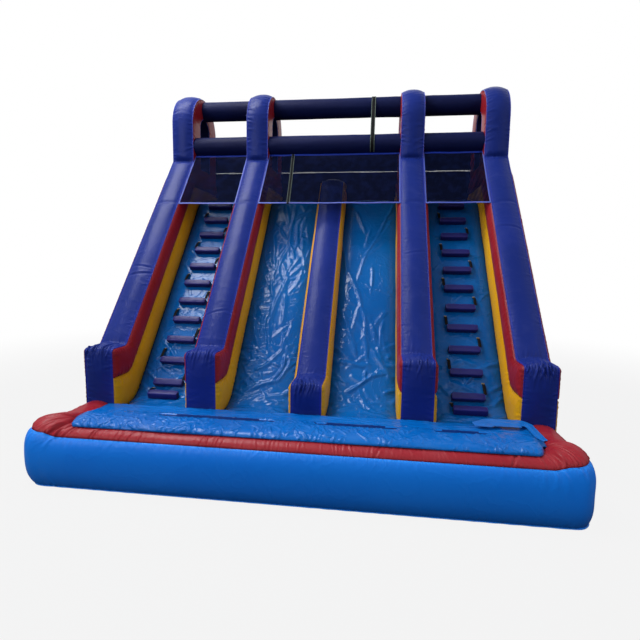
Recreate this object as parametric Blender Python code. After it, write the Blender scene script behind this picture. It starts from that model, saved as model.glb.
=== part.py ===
"""Inflatable water slide with two slide lanes, two climbing lanes and a landing pool.

X runs across the lanes, Y from the pool to the back, Z up. Metres.
Four tall side walls carry the lanes between them. Each wall is one inflated chamber with a front pillar,
a sloping tube, an arch and a rear leg. The large chambers are hollow, with ports between them for the
air. Beams join the arches, nets close the space under them, and a U-shaped pool wall holds the landing
mattress.
The pillars' front faces lie at y = 0 while the pieces are made. The last function moves the whole
assembly so that its box stands on z = 0 with its middle on the Z axis.
"""

import bisect
import math

import bmesh
import bpy
from mathutils import Matrix, Vector
from mathutils.geometry import delaunay_2d_cdt

# Fits
CLEARANCE = 0.0003
WELD_DISTANCE = 0.00001

# Side walls, measured in the (y, z) plane
WALL_THICKNESS = 0.41
OUTER_WALL_X = 3.0
INNER_WALL_X = 1.486
PILLAR_TOP = 1.47
PILLAR_CORNER_RADIUS = 0.1
LEDGE_RADIUS = 0.12
SLOPE_ANGLE = math.radians(51.2)
CREASE_HEIGHT = 4.73
ARCH_FRONT = 2.99
ARCH_RADIUS = 0.63
ARCH_TOP = 6.09
HOLE_RADIUS = 0.25
HOLE_BOTTOM = 4.66

# Inflated bands of the walls
TUBE_BULGE = 0.05
TUBE_BULGE_START = 0.74
TUBE_FULL_ABOVE_SEAM = 0.1
BAND_CROWN = 0.05
SEAM_DEPTH = 0.31
SEAM_PILLAR_HEIGHT = 1.05
SEAM_TOP_HEIGHT = 4.25
SEAM_FILLET = 0.25
FLAT_LEG_HEIGHT = 4.62
CROWN_FADE_LENGTH = 0.3
BAND_ROW_SHARES = (1 / 3, 2 / 3)
TUBE_COLUMN_SHARES = (-1, -0.55, 0, 0.55, 1)
PANEL_SPACING = 0.62

# Air chambers inside the walls, the beds, the divider and the rear wall
CHAMBER_SKIN = 0.015
PORT_SIZE = 0.16
PORT_HEIGHT = 0.3
VENT_HEIGHT = 1.0
CUT_OVERRUN = 0.01

# Lane beds
BED_DEPTH = 0.6
BED_SIDE_DROP = 0.08
PLATFORM_HEIGHT = 4.0
LANDING_HEIGHT = 0.65
FOOT_FILLET = 0.45
LIP_FILLET = 0.15
BED_ROW_SHARES = (-1, -0.75, -0.5, 0.5, 0.75, 1)
BED_FLAT_SHARE = 0.5

# Centre divider between the slide lanes
DIVIDER_RISE = 0.3
DIVIDER_PILLAR_TOP = 1.09
DIVIDER_CROWN = 0.05
DIVIDER_TOP_HEIGHT = 4.33
DIVIDER_TOP_BACK = 3.25
DIVIDER_TOP_RADIUS = 0.12

# Steps and hand straps
STEP_LENGTH = 0.46
STEP_DEPTH = 0.1
STEP_HEIGHT = 0.1
STEP_EDGE_RADIUS = 0.014
STEP_END_INSET = 0.02
STEP_END_SHARE = 0.9
STEP_COUNT = 12
STEP_PITCH = 0.383
TOP_STEP_DISTANCE = 0.16
FOOT_STEP_PITCH = 0.26
STRAP_WIDTH = 0.05
STRAP_THICKNESS = 0.005
STRAP_OFFSET = 0.235
STRAP_PITCH_SHARE = 0.56
STRAP_RISE = 0.055
STRAP_LENGTH_SHARES = (0.0, 0.22, 0.45, 0.66, 0.84, 0.92, 1.0)
STRAP_RISE_SHARES = (1.5, 1.26, 1.06, 0.98, 0.55, 0.0, 0.0)

# Landing mattress
MATTRESS_BACK_HEIGHT = 0.66
MATTRESS_TOP = 0.7
MATTRESS_CROWN_SHARE = 0.12
GROOVE_Y = -0.46
GROOVE_WIDTH = 0.02
GROOVE_DEPTH = 0.03
ROLL_FRONT = -1.04
ROLL_HEIGHT = 0.08
ROLL_END_HEIGHT = 0.02
ROLL_END_MARGIN = 0.065
ROLL_CORNER_RADIUS = 0.12
ROLL_STEPS = 6
ROLL_END_STEPS = 3

# Pool wall and its rim
POOL_SIDE_X = 3.03
POOL_FRONT_Y = -0.95
POOL_OUTER_RADIUS = 0.22
POOL_INNER_RADIUS = 0.03
POOL_WIDTH = 0.38
POOL_HEIGHT = 0.62
POOL_BULGE = 0.05
POOL_WALL_STEPS = 4
RIM_HEIGHT = 0.1
RIM_STEPS = 6
CORNER_STEPS = 4
CORNER_RISE = 0.075
CORNER_RISE_RUN = 0.34
CORNER_RISE_MARGIN = 0.045
CORNER_FRONT_SHARE = 0.6

# Loose corner flap on the mattress
FLAP_BACK_Y = -0.03
FLAP_SIDE_X = 2.885
FLAP_BACK_LENGTH = 0.74
FLAP_SIDE_LENGTH = 0.62
FLAP_CORNER_RADIUS = 0.14
FLAP_TIP_RUN = 0.2
FLAP_TIP_SETBACK = 0.17
FLAP_BACK_WIDTH = 0.19
FLAP_SIDE_WIDTH = 0.094
FLAP_TIP_WIDTH = 0.05
FLAP_THICKNESS = 0.005
FLAP_RISE = 0.03

# Beams
BEAM_RADIUS = 0.19
BEAM_SIDES = 12
TOP_BEAM_Y = 3.62
TOP_BEAM_HEIGHT = 5.87
LOWER_BEAM_Y = 3.185
LOWER_BEAM_HEIGHT = 5.04
REAR_BEAM_HEIGHT = 4.99

# Rear wall
REAR_WALL_HEIGHT = 4.74
REAR_WALL_THICKNESS = 0.29
REAR_BAFFLE_BULGE = 0.08
REAR_BAFFLE_COUNT = 10
REAR_BAFFLE_SHOULDER_SHARES = (0.0, 0.2, 0.8)
REAR_TOP_RADIUS = 0.12

# Nets
NET_LENGTH_BELOW_CREASE = 1.195
NET_THICKNESS = 0.008
NET_CORD = 0.009
NET_HEM = 0.05
NET_SIDE_GAP = 0.0024
NET_ROWS = 6
SIDE_NET_COLUMNS = 5
MIDDLE_NET_COLUMNS = 12
HOSE_SLEEVE_X = -0.72
HOSE_SLEEVE_WIDTH = 0.05

# Sleeve over the front beams
BEAM_SLEEVE_X = 0.74
BEAM_SLEEVE_WIDTH = 0.08
BEAM_SLEEVE_THICKNESS = 0.004
BEAM_SLEEVE_END_SHARE = 0.7

# Inflation sleeve
INFLATION_RADIUS = 0.13
INFLATION_WALL = 0.004
INFLATION_LENGTH = 0.7
INFLATION_SIDES = 16
INFLATION_BAFFLE = 7

# Deflation zip
ZIP_TAPE_WIDTH = 0.032
ZIP_TAPE_LENGTH = 0.55
ZIP_TAPE_THICKNESS = 0.002
ZIP_TAPE_BOTTOM = 0.35
ZIP_CHAIN_WIDTH = 0.006
ZIP_CHAIN_HEIGHT = 0.0025
SLIDER_WIDTH = 0.014
SLIDER_LENGTH = 0.02
SLIDER_THICKNESS = 0.0065
SLIDER_TRAVEL_MARGIN = 0.015
PULL_WIDTH = 0.008
PULL_LENGTH = 0.034
PULL_THICKNESS = 0.003

# Anchor tabs and their rings
ANCHOR_HEIGHT = 0.1
ANCHOR_FRONT_Y = 0.6
ANCHOR_BACK_Y = 3.8
TAB_WIDTH = 0.038
TAB_LENGTH = 0.09
TAB_THICKNESS = 0.004
TAB_LOOP_RADIUS = 0.0075
TAB_BORE_RADIUS = 0.0036
RING_WIRE_RADIUS = 0.003
RING_HALF_WIDTH = 0.025
RING_STRAIGHT = 0.006
RING_CORNER_RADIUS = 0.006
RING_SIDES = 6
BORE_SIDES = 10

# Roundness of the meshes
ARC_STEP = math.radians(18)
SHARP_EDGE = math.radians(38)


def flat_material(name, colour, roughness, metallic=0.0):
    """Return a plain surface material."""
    material = bpy.data.materials.new(name)
    material.use_nodes = True
    shader = material.node_tree.nodes["Principled BSDF"]
    shader.inputs["Base Color"].default_value = (*colour, 1.0)
    shader.inputs["Roughness"].default_value = roughness
    shader.inputs["Metallic"].default_value = metallic
    material.diffuse_color = (*colour, 1.0)
    return material


class Body:
    """Collects the corners and faces of one closed solid."""

    def __init__(self):
        self.corners = []
        self.faces = []
        self.slots = []
        self.known = {}

    def corner(self, point):
        """Return the index of a corner, which is shared with an earlier one at the same place."""
        key = tuple(round(value / WELD_DISTANCE) for value in point)
        if key not in self.known:
            self.known[key] = len(self.corners)
            self.corners.append(tuple(point))
        return self.known[key]

    def face(self, points, slot=0):
        """Add one face through the points, unless it has shrunk to a line."""
        indices = []
        for point in points:
            index = self.corner(point)
            if index not in indices:
                indices.append(index)
        if len(indices) > 2:
            self.faces.append(indices)
            self.slots.append(slot)

    def strip(self, first, second, closed=False, slot=0, split=False):
        """Add the quads between two rows of points of the same count, or two triangles for each."""
        last = len(first) if closed else len(first) - 1
        for index in range(last):
            following = (index + 1) % len(first)
            if split:
                self.face((first[index], first[following], second[following]), slot)
                self.face((first[index], second[following], second[index]), slot)
            else:
                self.face((first[index], first[following], second[following], second[index]), slot)

    def loft(self, sections, ring=False, split=False):
        """Skin closed loops of the same count, with caps unless the loft closes on itself."""
        for first, second in zip(sections, sections[1:]):
            self.strip(first, second, closed=True, split=split)
        if ring:
            self.strip(sections[-1], sections[0], closed=True)
        else:
            self.face(sections[0])
            self.face(sections[-1])

    def finish(self, name, materials, parent, location=(0.0, 0.0, 0.0), rotation=(0.0, 0.0, 0.0)):
        """Turn the faces outward and return the finished object."""
        mesh = bpy.data.meshes.new(name)
        mesh.from_pydata(self.corners, [], self.faces)
        for material in materials:
            mesh.materials.append(material)
        mesh.polygons.foreach_set("material_index", self.slots)
        shaped = bmesh.new()
        shaped.from_mesh(mesh)
        bmesh.ops.triangulate(shaped, faces=[face for face in shaped.faces if len(face.verts) > 4])
        bmesh.ops.recalc_face_normals(shaped, faces=shaped.faces)
        shaped.to_mesh(mesh)
        shaped.free()
        mesh.shade_smooth()
        mesh.set_sharp_from_angle(angle=SHARP_EDGE)
        made = bpy.data.objects.new(name, mesh)
        made.parent = parent
        made.location = location
        made.rotation_euler = rotation
        bpy.context.collection.objects.link(made)
        return made


def rounded_path(corners):
    """Return the points of an open path whose inner corners (x, y, radius) are rounded to arcs."""
    points = []
    for index, (first, second, radius) in enumerate(corners):
        corner = Vector((first, second))
        if radius == 0 or index in (0, len(corners) - 1):
            points.append(corner)
            continue
        before = (Vector(corners[index - 1][:2]) - corner).normalized()
        after = (Vector(corners[index + 1][:2]) - corner).normalized()
        turn = math.pi - before.angle(after)
        start = before * radius * math.tan(turn / 2)
        centre = (before + after).normalized() * radius / math.cos(turn / 2)
        direction = math.copysign(1.0, before.y * after.x - before.x * after.y)
        steps = max(2, round(turn / ARC_STEP))
        for step in range(steps + 1):
            spin = Matrix.Rotation(direction * turn * step / steps, 2)
            points.append(corner + centre + spin @ (start - centre))
    return points


def spaced(points, spacing):
    """Return the path with extra points, so that no two lie further apart than the spacing."""
    result = [points[0]]
    for first, second in zip(points, points[1:]):
        parts = max(1, math.ceil((second - first).length / spacing))
        result.extend(first.lerp(second, part / parts) for part in range(1, parts + 1))
    return result


def slope_y(height, depth):
    """Return the y where a line below the wall's slope, at that depth, reaches the height."""
    run = ARCH_FRONT + depth * math.sin(SLOPE_ANGLE)
    rise = CREASE_HEIGHT - depth * math.cos(SLOPE_ANGLE)
    return run - (rise - height) / math.tan(SLOPE_ANGLE)


def wall_back():
    """Return the y of the walls' rear faces."""
    return ARCH_FRONT + 2 * ARCH_RADIUS


def lane_line(depth, low, high, low_radius, high_radius, start=0.0, end=None):
    """Return a line in (y, z) that runs level, up parallel to the slope, and level again."""
    back = wall_back() if end is None else end
    return rounded_path([
        (start, low, 0),
        (slope_y(low, depth), low, low_radius),
        (slope_y(high, depth), high, high_radius),
        (back, high, 0),
    ])


def bed_line(drop=0.0):
    """Return the surface line of a lane bed, lowered by the drop."""
    low = LANDING_HEIGHT - drop
    high = PLATFORM_HEIGHT - drop
    return lane_line(BED_DEPTH + drop, low, high, FOOT_FILLET, LIP_FILLET)


def height_at(line, run):
    """Return the height of a (y, z) line at the given y."""
    for first, second in zip(line, line[1:]):
        if first.x <= run <= second.x:
            return first.lerp(second, (run - first.x) / max(second.x - first.x, WELD_DISTANCE)).y
    return line[-1].y


def distance_to_lines(point, lines):
    """Return the least distance from a point to the segments of the lines."""
    least = math.inf
    for line in lines:
        for first, second in zip(line, line[1:]):
            along = second - first
            share = (point - first).dot(along) / max(along.length_squared, WELD_DISTANCE)
            least = min(least, (point - first - along * min(max(share, 0.0), 1.0)).length)
    return least


def triangulate(lines, holes=()):
    """Return the triangles of a flat panel, as point triples, with every line kept as an edge.

    The first line is the panel's closed outline, without its first point repeated.
    """
    points = []
    places = {}
    edges = []

    def place(point):
        key = (round(point.x / WELD_DISTANCE), round(point.y / WELD_DISTANCE))
        if key not in places:
            places[key] = len(points)
            points.append(point)
        return places[key]

    for number, line in enumerate([*lines, *holes]):
        indices = [place(point) for point in line]
        if number == 0 or number >= len(lines):
            indices.append(indices[0])
        edges.extend(zip(indices, indices[1:]))
    _, _, faces, sources, _, _ = delaunay_2d_cdt(points, edges, [], 1, WELD_DISTANCE)
    triangles = []
    for face in faces:
        corners = [points[sources[index][0]] for index in face]
        middle = sum(corners, Vector((0.0, 0.0))) / len(corners)
        if not any(inside(middle, hole) for hole in holes):
            triangles.append(corners)
    return triangles


def inside(point, loop):
    """Tell whether a point lies inside a closed loop."""
    crossings = 0
    for first, second in zip(loop, [*loop[1:], loop[0]]):
        if (first.y > point.y) != (second.y > point.y):
            share = (point.y - first.y) / (second.y - first.y)
            crossings += point.x < first.x + share * (second.x - first.x)
    return crossings % 2 == 1


def circle(radius, sides, phase=0.0):
    """Return the corners of a regular polygon round the origin."""
    return [Vector((radius * math.cos(phase + 2 * math.pi * side / sides),
                    radius * math.sin(phase + 2 * math.pi * side / sides))) for side in range(sides)]


def outward_normals(outline):
    """Return the outward direction at each point of a closed outline that runs clockwise."""
    normals = []
    for before, here, after in zip([outline[-1], *outline], outline, [*outline[1:], outline[0]]):
        along = (here - before).normalized() + (after - here).normalized()
        normals.append(Vector((-along.y, along.x)).normalized())
    return normals


def quilted_chamber(body, outline, bulge, panel_lines, hole, side_height, slot_of):
    """Fill a body with a chamber that stands on edge: a bulged band round it and two quilted panels.

    Args:
        body: The body that takes the faces.
        outline: The chamber's closed outline in (y, z), clockwise.
        bulge: Function of an outline point, how far the band bulges there.
        panel_lines: Lines of the panels, each a list of (y, z) points.
        hole: The closed outline of a hole through the chamber, or None.
        side_height: Function of a panel point, how far the panel stands out there.
        slot_of: Function of a panel point, which material it has.
    """
    half = WALL_THICKNESS / 2
    normals = outward_normals(outline)
    columns = []
    for share in TUBE_COLUMN_SHARES:
        column = []
        for point, normal in zip(outline, normals):
            out = point + normal * bulge(point) * (1 - share * share)
            column.append((share * half, out.x, out.y))
        columns.append(column)
    for first, second in zip(columns, columns[1:]):
        body.strip(first, second, closed=True)
    holes = [hole] if hole else []
    triangles = triangulate([outline, *panel_lines], holes)
    for side in (-1, 1):
        for triangle in triangles:
            middle = sum(triangle, Vector((0.0, 0.0))) / len(triangle)
            body.face([(side * (half + side_height(point)), point.x, point.y) for point in triangle],
                      slot_of(middle))
    if hole:
        rims = [[(side * half, point.x, point.y) for point in hole] for side in (-1, 1)]
        body.strip(*rims, closed=True, slot=1)


def crown(distance, half_width, height):
    """Return how far a quilted panel stands out at a distance from its nearest seam."""
    share = min(distance / half_width, 1.0)
    return height * (1 - (1 - share) ** 2)


def combined_mesh(kept, other, operation):
    """Return the mesh of one object joined with or cut by another, and remove the other object."""
    change = kept.modifiers.new("change", "BOOLEAN")
    change.operation = operation
    change.solver = "EXACT"
    change.object = other
    bpy.context.view_layer.update()
    shown = kept.evaluated_get(bpy.context.evaluated_depsgraph_get())
    mesh = bpy.data.meshes.new_from_object(shown)
    mesh.set_sharp_from_angle(angle=SHARP_EDGE)
    kept.modifiers.clear()
    bpy.data.objects.remove(other)
    return mesh


def prism(outline, low, high, place):
    """Return a body with a plain outline and flat ends at low and high along the third axis."""
    body = Body()
    body.loft([[place(first, second, height) for first, second in outline] for height in (low, high)])
    return body


def block(low, high):
    """Return a rectangular body between two opposite corners."""
    outline = [(low[1], low[2]), (high[1], low[2]), (high[1], high[2]), (low[1], high[2])]
    return prism(outline, low[0], high[0], lambda y, z, x: (x, y, z))


def cut_out(made, cutters):
    """Cut bodies, placed as the object is, out of the object."""
    for cutter in cutters:
        tool = cutter.finish(f"{made.name}_cutter", [], made.parent, made.location)
        made.data = combined_mesh(made, tool, "DIFFERENCE")


def chambers(outline, cells):
    """Return the cutters for air chambers with an outline in (y, z), and for the port through the back.

    The cells are the chambers' low and high places along X. The port in the middle opens them all.
    """
    cutters = [prism(outline, low, high, lambda y, z, x: (x, y, z)) for low, high in cells]
    half = PORT_SIZE / 2
    back = wall_back()
    cutters.append(block((-half, back - CHAMBER_SKIN - CUT_OVERRUN, PORT_HEIGHT - half),
                         (half, back + CUT_OVERRUN, PORT_HEIGHT + half)))
    return cutters


def chamber_outline(pillar_top, depth, top):
    """Return the outline of the air chamber behind a pillar and under a slope, in (y, z)."""
    skin = CHAMBER_SKIN
    low = pillar_top - skin
    back = wall_back() - skin
    return rounded_path([
        (skin, skin, 0),
        (skin, low, PILLAR_CORNER_RADIUS - skin),
        (slope_y(low, depth + skin), low, 0),
        (slope_y(top - skin, depth + skin), top - skin, 0),
        (back, top - skin, 0),
        (back, skin, 0),
    ])


def wall_outline():
    """Return the closed outline of a tall wall, clockwise from its front foot."""
    bed_front = LANDING_HEIGHT - BED_SIDE_DROP
    bed_back = PLATFORM_HEIGHT - BED_SIDE_DROP
    back = wall_back()
    path = rounded_path([
        (0.0, 0.0, 0),
        (0.0, bed_front, 0),
        (0.0, TUBE_BULGE_START, 0),
        (0.0, SEAM_PILLAR_HEIGHT, 0),
        (0.0, SEAM_PILLAR_HEIGHT + TUBE_FULL_ABOVE_SEAM, 0),
        (0.0, PILLAR_TOP, PILLAR_CORNER_RADIUS),
        (slope_y(PILLAR_TOP, 0.0), PILLAR_TOP, LEDGE_RADIUS),
        (ARCH_FRONT, CREASE_HEIGHT, 0),
        (ARCH_FRONT, ARCH_TOP, ARCH_RADIUS),
        (back, ARCH_TOP, ARCH_RADIUS),
        (back, CREASE_HEIGHT, 0),
        (back, SEAM_TOP_HEIGHT, 0),
        (back, bed_back, 0),
        (back, 0.0, 0),
    ])
    slim = [first for first, second in zip(path, path[1:]) if (second - first).length > WELD_DISTANCE]
    return spaced([*slim, path[-1]], PANEL_SPACING)


def wall_bulge(point):
    """Return how far a wall's outer band bulges at a point of its outline."""
    back = wall_back()
    middle = ARCH_FRONT + ARCH_RADIUS
    if point.y < TUBE_BULGE_START + WELD_DISTANCE or point.x > back - WELD_DISTANCE:
        return 0.0
    if point.x < WELD_DISTANCE:
        full = SEAM_PILLAR_HEIGHT + TUBE_FULL_ABOVE_SEAM
        return TUBE_BULGE * min((point.y - TUBE_BULGE_START) / (full - TUBE_BULGE_START), 1.0)
    if point.x > middle:
        return TUBE_BULGE * (back - point.x) / (back - middle)
    return TUBE_BULGE


def wall_hole():
    """Return the closed outline of the crawl hole through an arch."""
    centre = Vector((ARCH_FRONT + ARCH_RADIUS, ARCH_TOP - ARCH_RADIUS))
    front = centre.x - HOLE_RADIUS
    back = centre.x + HOLE_RADIUS
    top = centre.y + HOLE_RADIUS
    path = rounded_path([
        (front, HOLE_BOTTOM, 0),
        (front, top, HOLE_RADIUS),
        (back, top, HOLE_RADIUS),
        (back, HOLE_BOTTOM, 0),
    ])
    return [first for first, second in zip(path, [*path[1:], path[0]])
            if (second - first).length > WELD_DISTANCE]


def band_rows(first, second):
    """Return the lines between two seams, each given as its depth, low height and high height."""
    rows = []
    for share in BAND_ROW_SHARES:
        depth, low, high = [a + share * (b - a) for a, b in zip(first, second)]
        margin = share * (1 - share) * SEAM_DEPTH
        rows.append(spaced(lane_line(depth, low, high, SEAM_FILLET, SEAM_FILLET, margin,
                                     wall_back() - margin), PANEL_SPACING))
    return rows


def tall_wall(name, centre_x, materials, parent):
    """Build one tall side wall with its arch."""
    outline = wall_outline()
    bed_front = LANDING_HEIGHT - BED_SIDE_DROP
    bed_back = PLATFORM_HEIGHT - BED_SIDE_DROP
    bed_depth = BED_DEPTH + BED_SIDE_DROP
    seam = lane_line(SEAM_DEPTH, SEAM_PILLAR_HEIGHT, SEAM_TOP_HEIGHT, SEAM_FILLET, SEAM_FILLET)
    bed = bed_line(BED_SIDE_DROP)
    edge_sizes = (0.0, PILLAR_TOP, CREASE_HEIGHT)
    seam_sizes = (SEAM_DEPTH, SEAM_PILLAR_HEIGHT, SEAM_TOP_HEIGHT)
    bed_sizes = (bed_depth, bed_front, bed_back)
    red_rows = band_rows(edge_sizes, seam_sizes)
    yellow_rows = band_rows(seam_sizes, bed_sizes)
    lines = [spaced(seam, PANEL_SPACING), spaced(bed, PANEL_SPACING), *red_rows, *yellow_rows]
    seams = [[*outline, outline[0]], seam, bed]

    def side_height(point):
        if point.y < height_at(bed, point.x) or point.y > FLAT_LEG_HEIGHT:
            return 0.0
        red = point.y > height_at(seam, point.x)
        half_width = (SEAM_DEPTH if red else bed_depth - SEAM_DEPTH) / 2
        fade = min((FLAT_LEG_HEIGHT - point.y) / CROWN_FADE_LENGTH, 1.0)
        return fade * crown(distance_to_lines(point, seams), half_width, BAND_CROWN)

    def slot_of(point):
        if point.y > height_at(seam, point.x):
            return 1
        return 2 if point.y > height_at(bed, point.x) else 0

    body = Body()
    quilted_chamber(body, outline, wall_bulge, lines, wall_hole(), side_height, slot_of)
    made = body.finish(name, materials, parent, location=(centre_x, 0.0, 0.0))
    inner = WALL_THICKNESS / 2 - CHAMBER_SKIN
    cut_out(made, chambers(chamber_outline(PILLAR_TOP, 0.0, HOLE_BOTTOM), [(-inner, inner)]))


def centre_divider(materials, parent):
    """Build the low divider between the slide lanes."""
    depth = BED_DEPTH - DIVIDER_RISE
    bed = bed_line(BED_SIDE_DROP)
    back = wall_back()
    path = rounded_path([
        (0.0, 0.0, 0),
        (0.0, bed[0].y, 0),
        (0.0, TUBE_BULGE_START, 0),
        (0.0, DIVIDER_PILLAR_TOP, PILLAR_CORNER_RADIUS),
        (slope_y(DIVIDER_PILLAR_TOP, depth), DIVIDER_PILLAR_TOP, LEDGE_RADIUS),
        (slope_y(DIVIDER_TOP_HEIGHT, depth), DIVIDER_TOP_HEIGHT, DIVIDER_TOP_RADIUS),
        (DIVIDER_TOP_BACK, DIVIDER_TOP_HEIGHT, DIVIDER_TOP_RADIUS),
        (DIVIDER_TOP_BACK, PLATFORM_HEIGHT, 0),
        (back, PLATFORM_HEIGHT, 0),
        (back, bed[-1].y, 0),
        (back, 0.0, 0),
    ])
    slim = [first for first, second in zip(path, path[1:]) if (second - first).length > WELD_DISTANCE]
    outline = spaced([*slim, path[-1]], PANEL_SPACING)
    middles = [first.lerp(second, 0.5) for first, second in (
        (Vector((slope_y(height, depth), height)),
         Vector((slope_y(height, BED_DEPTH + BED_SIDE_DROP), height)))
        for height in (DIVIDER_PILLAR_TOP, (DIVIDER_PILLAR_TOP + DIVIDER_TOP_HEIGHT) / 2, PLATFORM_HEIGHT))]
    seams = [[*outline, outline[0]], bed]
    half_width = (DIVIDER_RISE + BED_SIDE_DROP) / 2

    def bulge(point):
        raised = point.y > TUBE_BULGE_START + WELD_DISTANCE
        return TUBE_BULGE if raised and point.x < DIVIDER_TOP_BACK - WELD_DISTANCE else 0.0

    def side_height(point):
        if point.y < height_at(bed, point.x):
            return 0.0
        return crown(distance_to_lines(point, seams), half_width, DIVIDER_CROWN)

    def slot_of(point):
        return 2 if point.y > height_at(bed, point.x) else 0

    body = Body()
    lines = [spaced(bed, PANEL_SPACING), spaced(middles, PANEL_SPACING)]
    quilted_chamber(body, outline, bulge, lines, None, side_height, slot_of)
    made = body.finish("centre_divider", materials, parent)
    inner = WALL_THICKNESS / 2 - CHAMBER_SKIN
    cut_out(made, chambers(chamber_outline(DIVIDER_PILLAR_TOP, depth, PLATFORM_HEIGHT), [(-inner, inner)]))


def lane_bed(name, low_x, high_x, material, parent):
    """Build a lane bed between two walls, highest along its middle, with two chambers side by side."""
    middle = (low_x + high_x) / 2
    half = (high_x - low_x) / 2 - CLEARANCE
    sections = []
    for share in BED_ROW_SHARES:
        fall = max(abs(share) - BED_FLAT_SHARE, 0.0) / (1 - BED_FLAT_SHARE)
        line = bed_line(BED_SIDE_DROP * fall * fall)
        loop = [*line, Vector((wall_back(), 0.0)), Vector((0.0, 0.0))]
        sections.append([(share * half, point.x, point.y) for point in loop])
    body = Body()
    body.loft(sections)
    made = body.finish(name, [material], parent, location=(middle, 0.0, 0.0))
    skin = CHAMBER_SKIN
    drop = BED_SIDE_DROP + skin
    top = lane_line(BED_DEPTH + drop, LANDING_HEIGHT - drop, PLATFORM_HEIGHT - drop, 0, LIP_FILLET, skin,
                    wall_back() - skin)
    outline = [(skin, skin), *top, (wall_back() - skin, skin)]
    cut_out(made, chambers(outline, [(skin - half, -skin / 2), (skin / 2, half - skin)]))


class Track:
    """The climbing surface as a path, measured downhill from the end of the lip's arc."""

    def __init__(self):
        line = bed_line()
        lip_points = 1 + max(2, round(SLOPE_ANGLE / ARC_STEP))
        self.points = list(reversed(line[:-lip_points]))
        self.lengths = [0.0]
        for first, second in zip(self.points, self.points[1:]):
            self.lengths.append(self.lengths[-1] + (second - first).length)

    def point(self, distance):
        """Return the (y, z) point at a distance along the track."""
        index = min(max(bisect.bisect_right(self.lengths, distance), 1), len(self.points) - 1)
        first, second = self.points[index - 1], self.points[index]
        share = (distance - self.lengths[index - 1]) / (self.lengths[index] - self.lengths[index - 1])
        return first.lerp(second, share)

    def chord(self, distance, length):
        """Return the middle and the uphill direction of a chord of the track."""
        upper = self.point(distance - length / 2)
        lower = self.point(distance + length / 2)
        return (upper + lower) / 2, (upper - lower).normalized()


def step_block():
    """Fill a body with one step block that lies on z = 0, its length along X."""
    half_depth = STEP_DEPTH / 2
    outline = rounded_path([
        (-half_depth, 0.0, 0),
        (-half_depth, STEP_HEIGHT, STEP_EDGE_RADIUS),
        (half_depth, STEP_HEIGHT, STEP_EDGE_RADIUS),
        (half_depth, 0.0, 0),
    ])
    half = STEP_LENGTH / 2
    stations = ((-half, STEP_END_SHARE), (-half + STEP_END_INSET, 1), (half - STEP_END_INSET, 1),
                (half, STEP_END_SHARE))
    body = Body()
    body.loft([[(x, point.x * share, point.y * share) for point in outline] for x, share in stations])
    return body


def hand_strap(track, distance, length, side, frame):
    """Fill a body with a strap that rises from a step's upper corner and comes down on the bed."""
    inverse = frame.inverted()
    start = STEP_DEPTH / 2 - STRAP_THICKNESS * 2
    rows = []
    for length_share, rise_share in zip(STRAP_LENGTH_SHARES, STRAP_RISE_SHARES):
        reach = start + length_share * length
        point, uphill = track.chord(distance - reach, STRAP_THICKNESS)
        normal = Vector((-uphill.y, uphill.x))
        lower = point + normal * (2 * CLEARANCE + rise_share * STRAP_RISE)
        rows.append([inverse @ Vector((0.0, *(lower + normal * lift))) for lift in (0.0, STRAP_THICKNESS)])
    middle = side * STRAP_OFFSET
    body = Body()
    sections = []
    for lower, upper in rows:
        low_x, high_x = middle - STRAP_WIDTH / 2, middle + STRAP_WIDTH / 2
        sections.append([(low_x, lower.y, lower.z), (high_x, lower.y, lower.z),
                         (high_x, upper.y, upper.z), (low_x, upper.y, upper.z)])
    body.loft(sections)
    return body


def climbing_steps(prefix, centre_x, material, strap_material, parent):
    """Build a lane's steps, each but the top one with a hand strap sewn to its upper corner."""
    track = Track()
    distance = TOP_STEP_DISTANCE
    for number in range(1, STEP_COUNT + 1):
        pitch = STEP_PITCH if number < STEP_COUNT else FOOT_STEP_PITCH
        if number > 1:
            distance += pitch
        middle, uphill = track.chord(distance, STEP_DEPTH)
        normal = Vector((-uphill.y, uphill.x))
        seat = middle + normal * CLEARANCE
        tilt = math.atan2(uphill.y, uphill.x)
        frame = Matrix.Translation((0.0, seat.x, seat.y)) @ Matrix.Rotation(tilt, 4, "X")
        name = f"{prefix}_step_{number:02d}"
        place = (centre_x, seat.x, seat.y)
        step = step_block().finish(name, [material], parent, place, (tilt, 0.0, 0.0))
        if number > 1:
            side = -1 if number % 2 == 0 else 1
            strap = hand_strap(track, distance, pitch * STRAP_PITCH_SHARE, side, frame).finish(
                f"{name}_strap", [strap_material], parent, place, (tilt, 0.0, 0.0))
            step.data = combined_mesh(step, strap, "UNION")


def pool_line(out):
    """Return the stations of a line round the pool, at a distance outward from the wall's middle line.

    Each station is its x, its y and its share of the height that the corners rise.
    """
    half = POOL_WIDTH / 2
    radius = POOL_INNER_RADIUS + (POOL_OUTER_RADIUS - POOL_INNER_RADIUS) * (out + half) / POOL_WIDTH
    side_x = POOL_SIDE_X + out
    arc_x = side_x - radius
    arc_y = POOL_FRONT_Y - out + radius
    right = [
        (side_x, -CLEARANCE, 0.0),
        (side_x, arc_y + CORNER_RISE_RUN, 0.0),
        (side_x, arc_y + CORNER_RISE_RUN / 2, 0.5),
    ]
    for step in range(CORNER_STEPS + 1):
        turn = step / CORNER_STEPS
        angle = math.pi / 2 * turn
        rise = 1 - turn * (1 - CORNER_FRONT_SHARE)
        right.append((arc_x + radius * math.cos(angle), arc_y - radius * math.sin(angle), rise))
    right.append((POOL_SIDE_X - half - CORNER_RISE_MARGIN, POOL_FRONT_Y - out, 0.0))
    left = [(-x, y, rise) for x, y, rise in right]
    return [*left, *reversed(right)]


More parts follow.
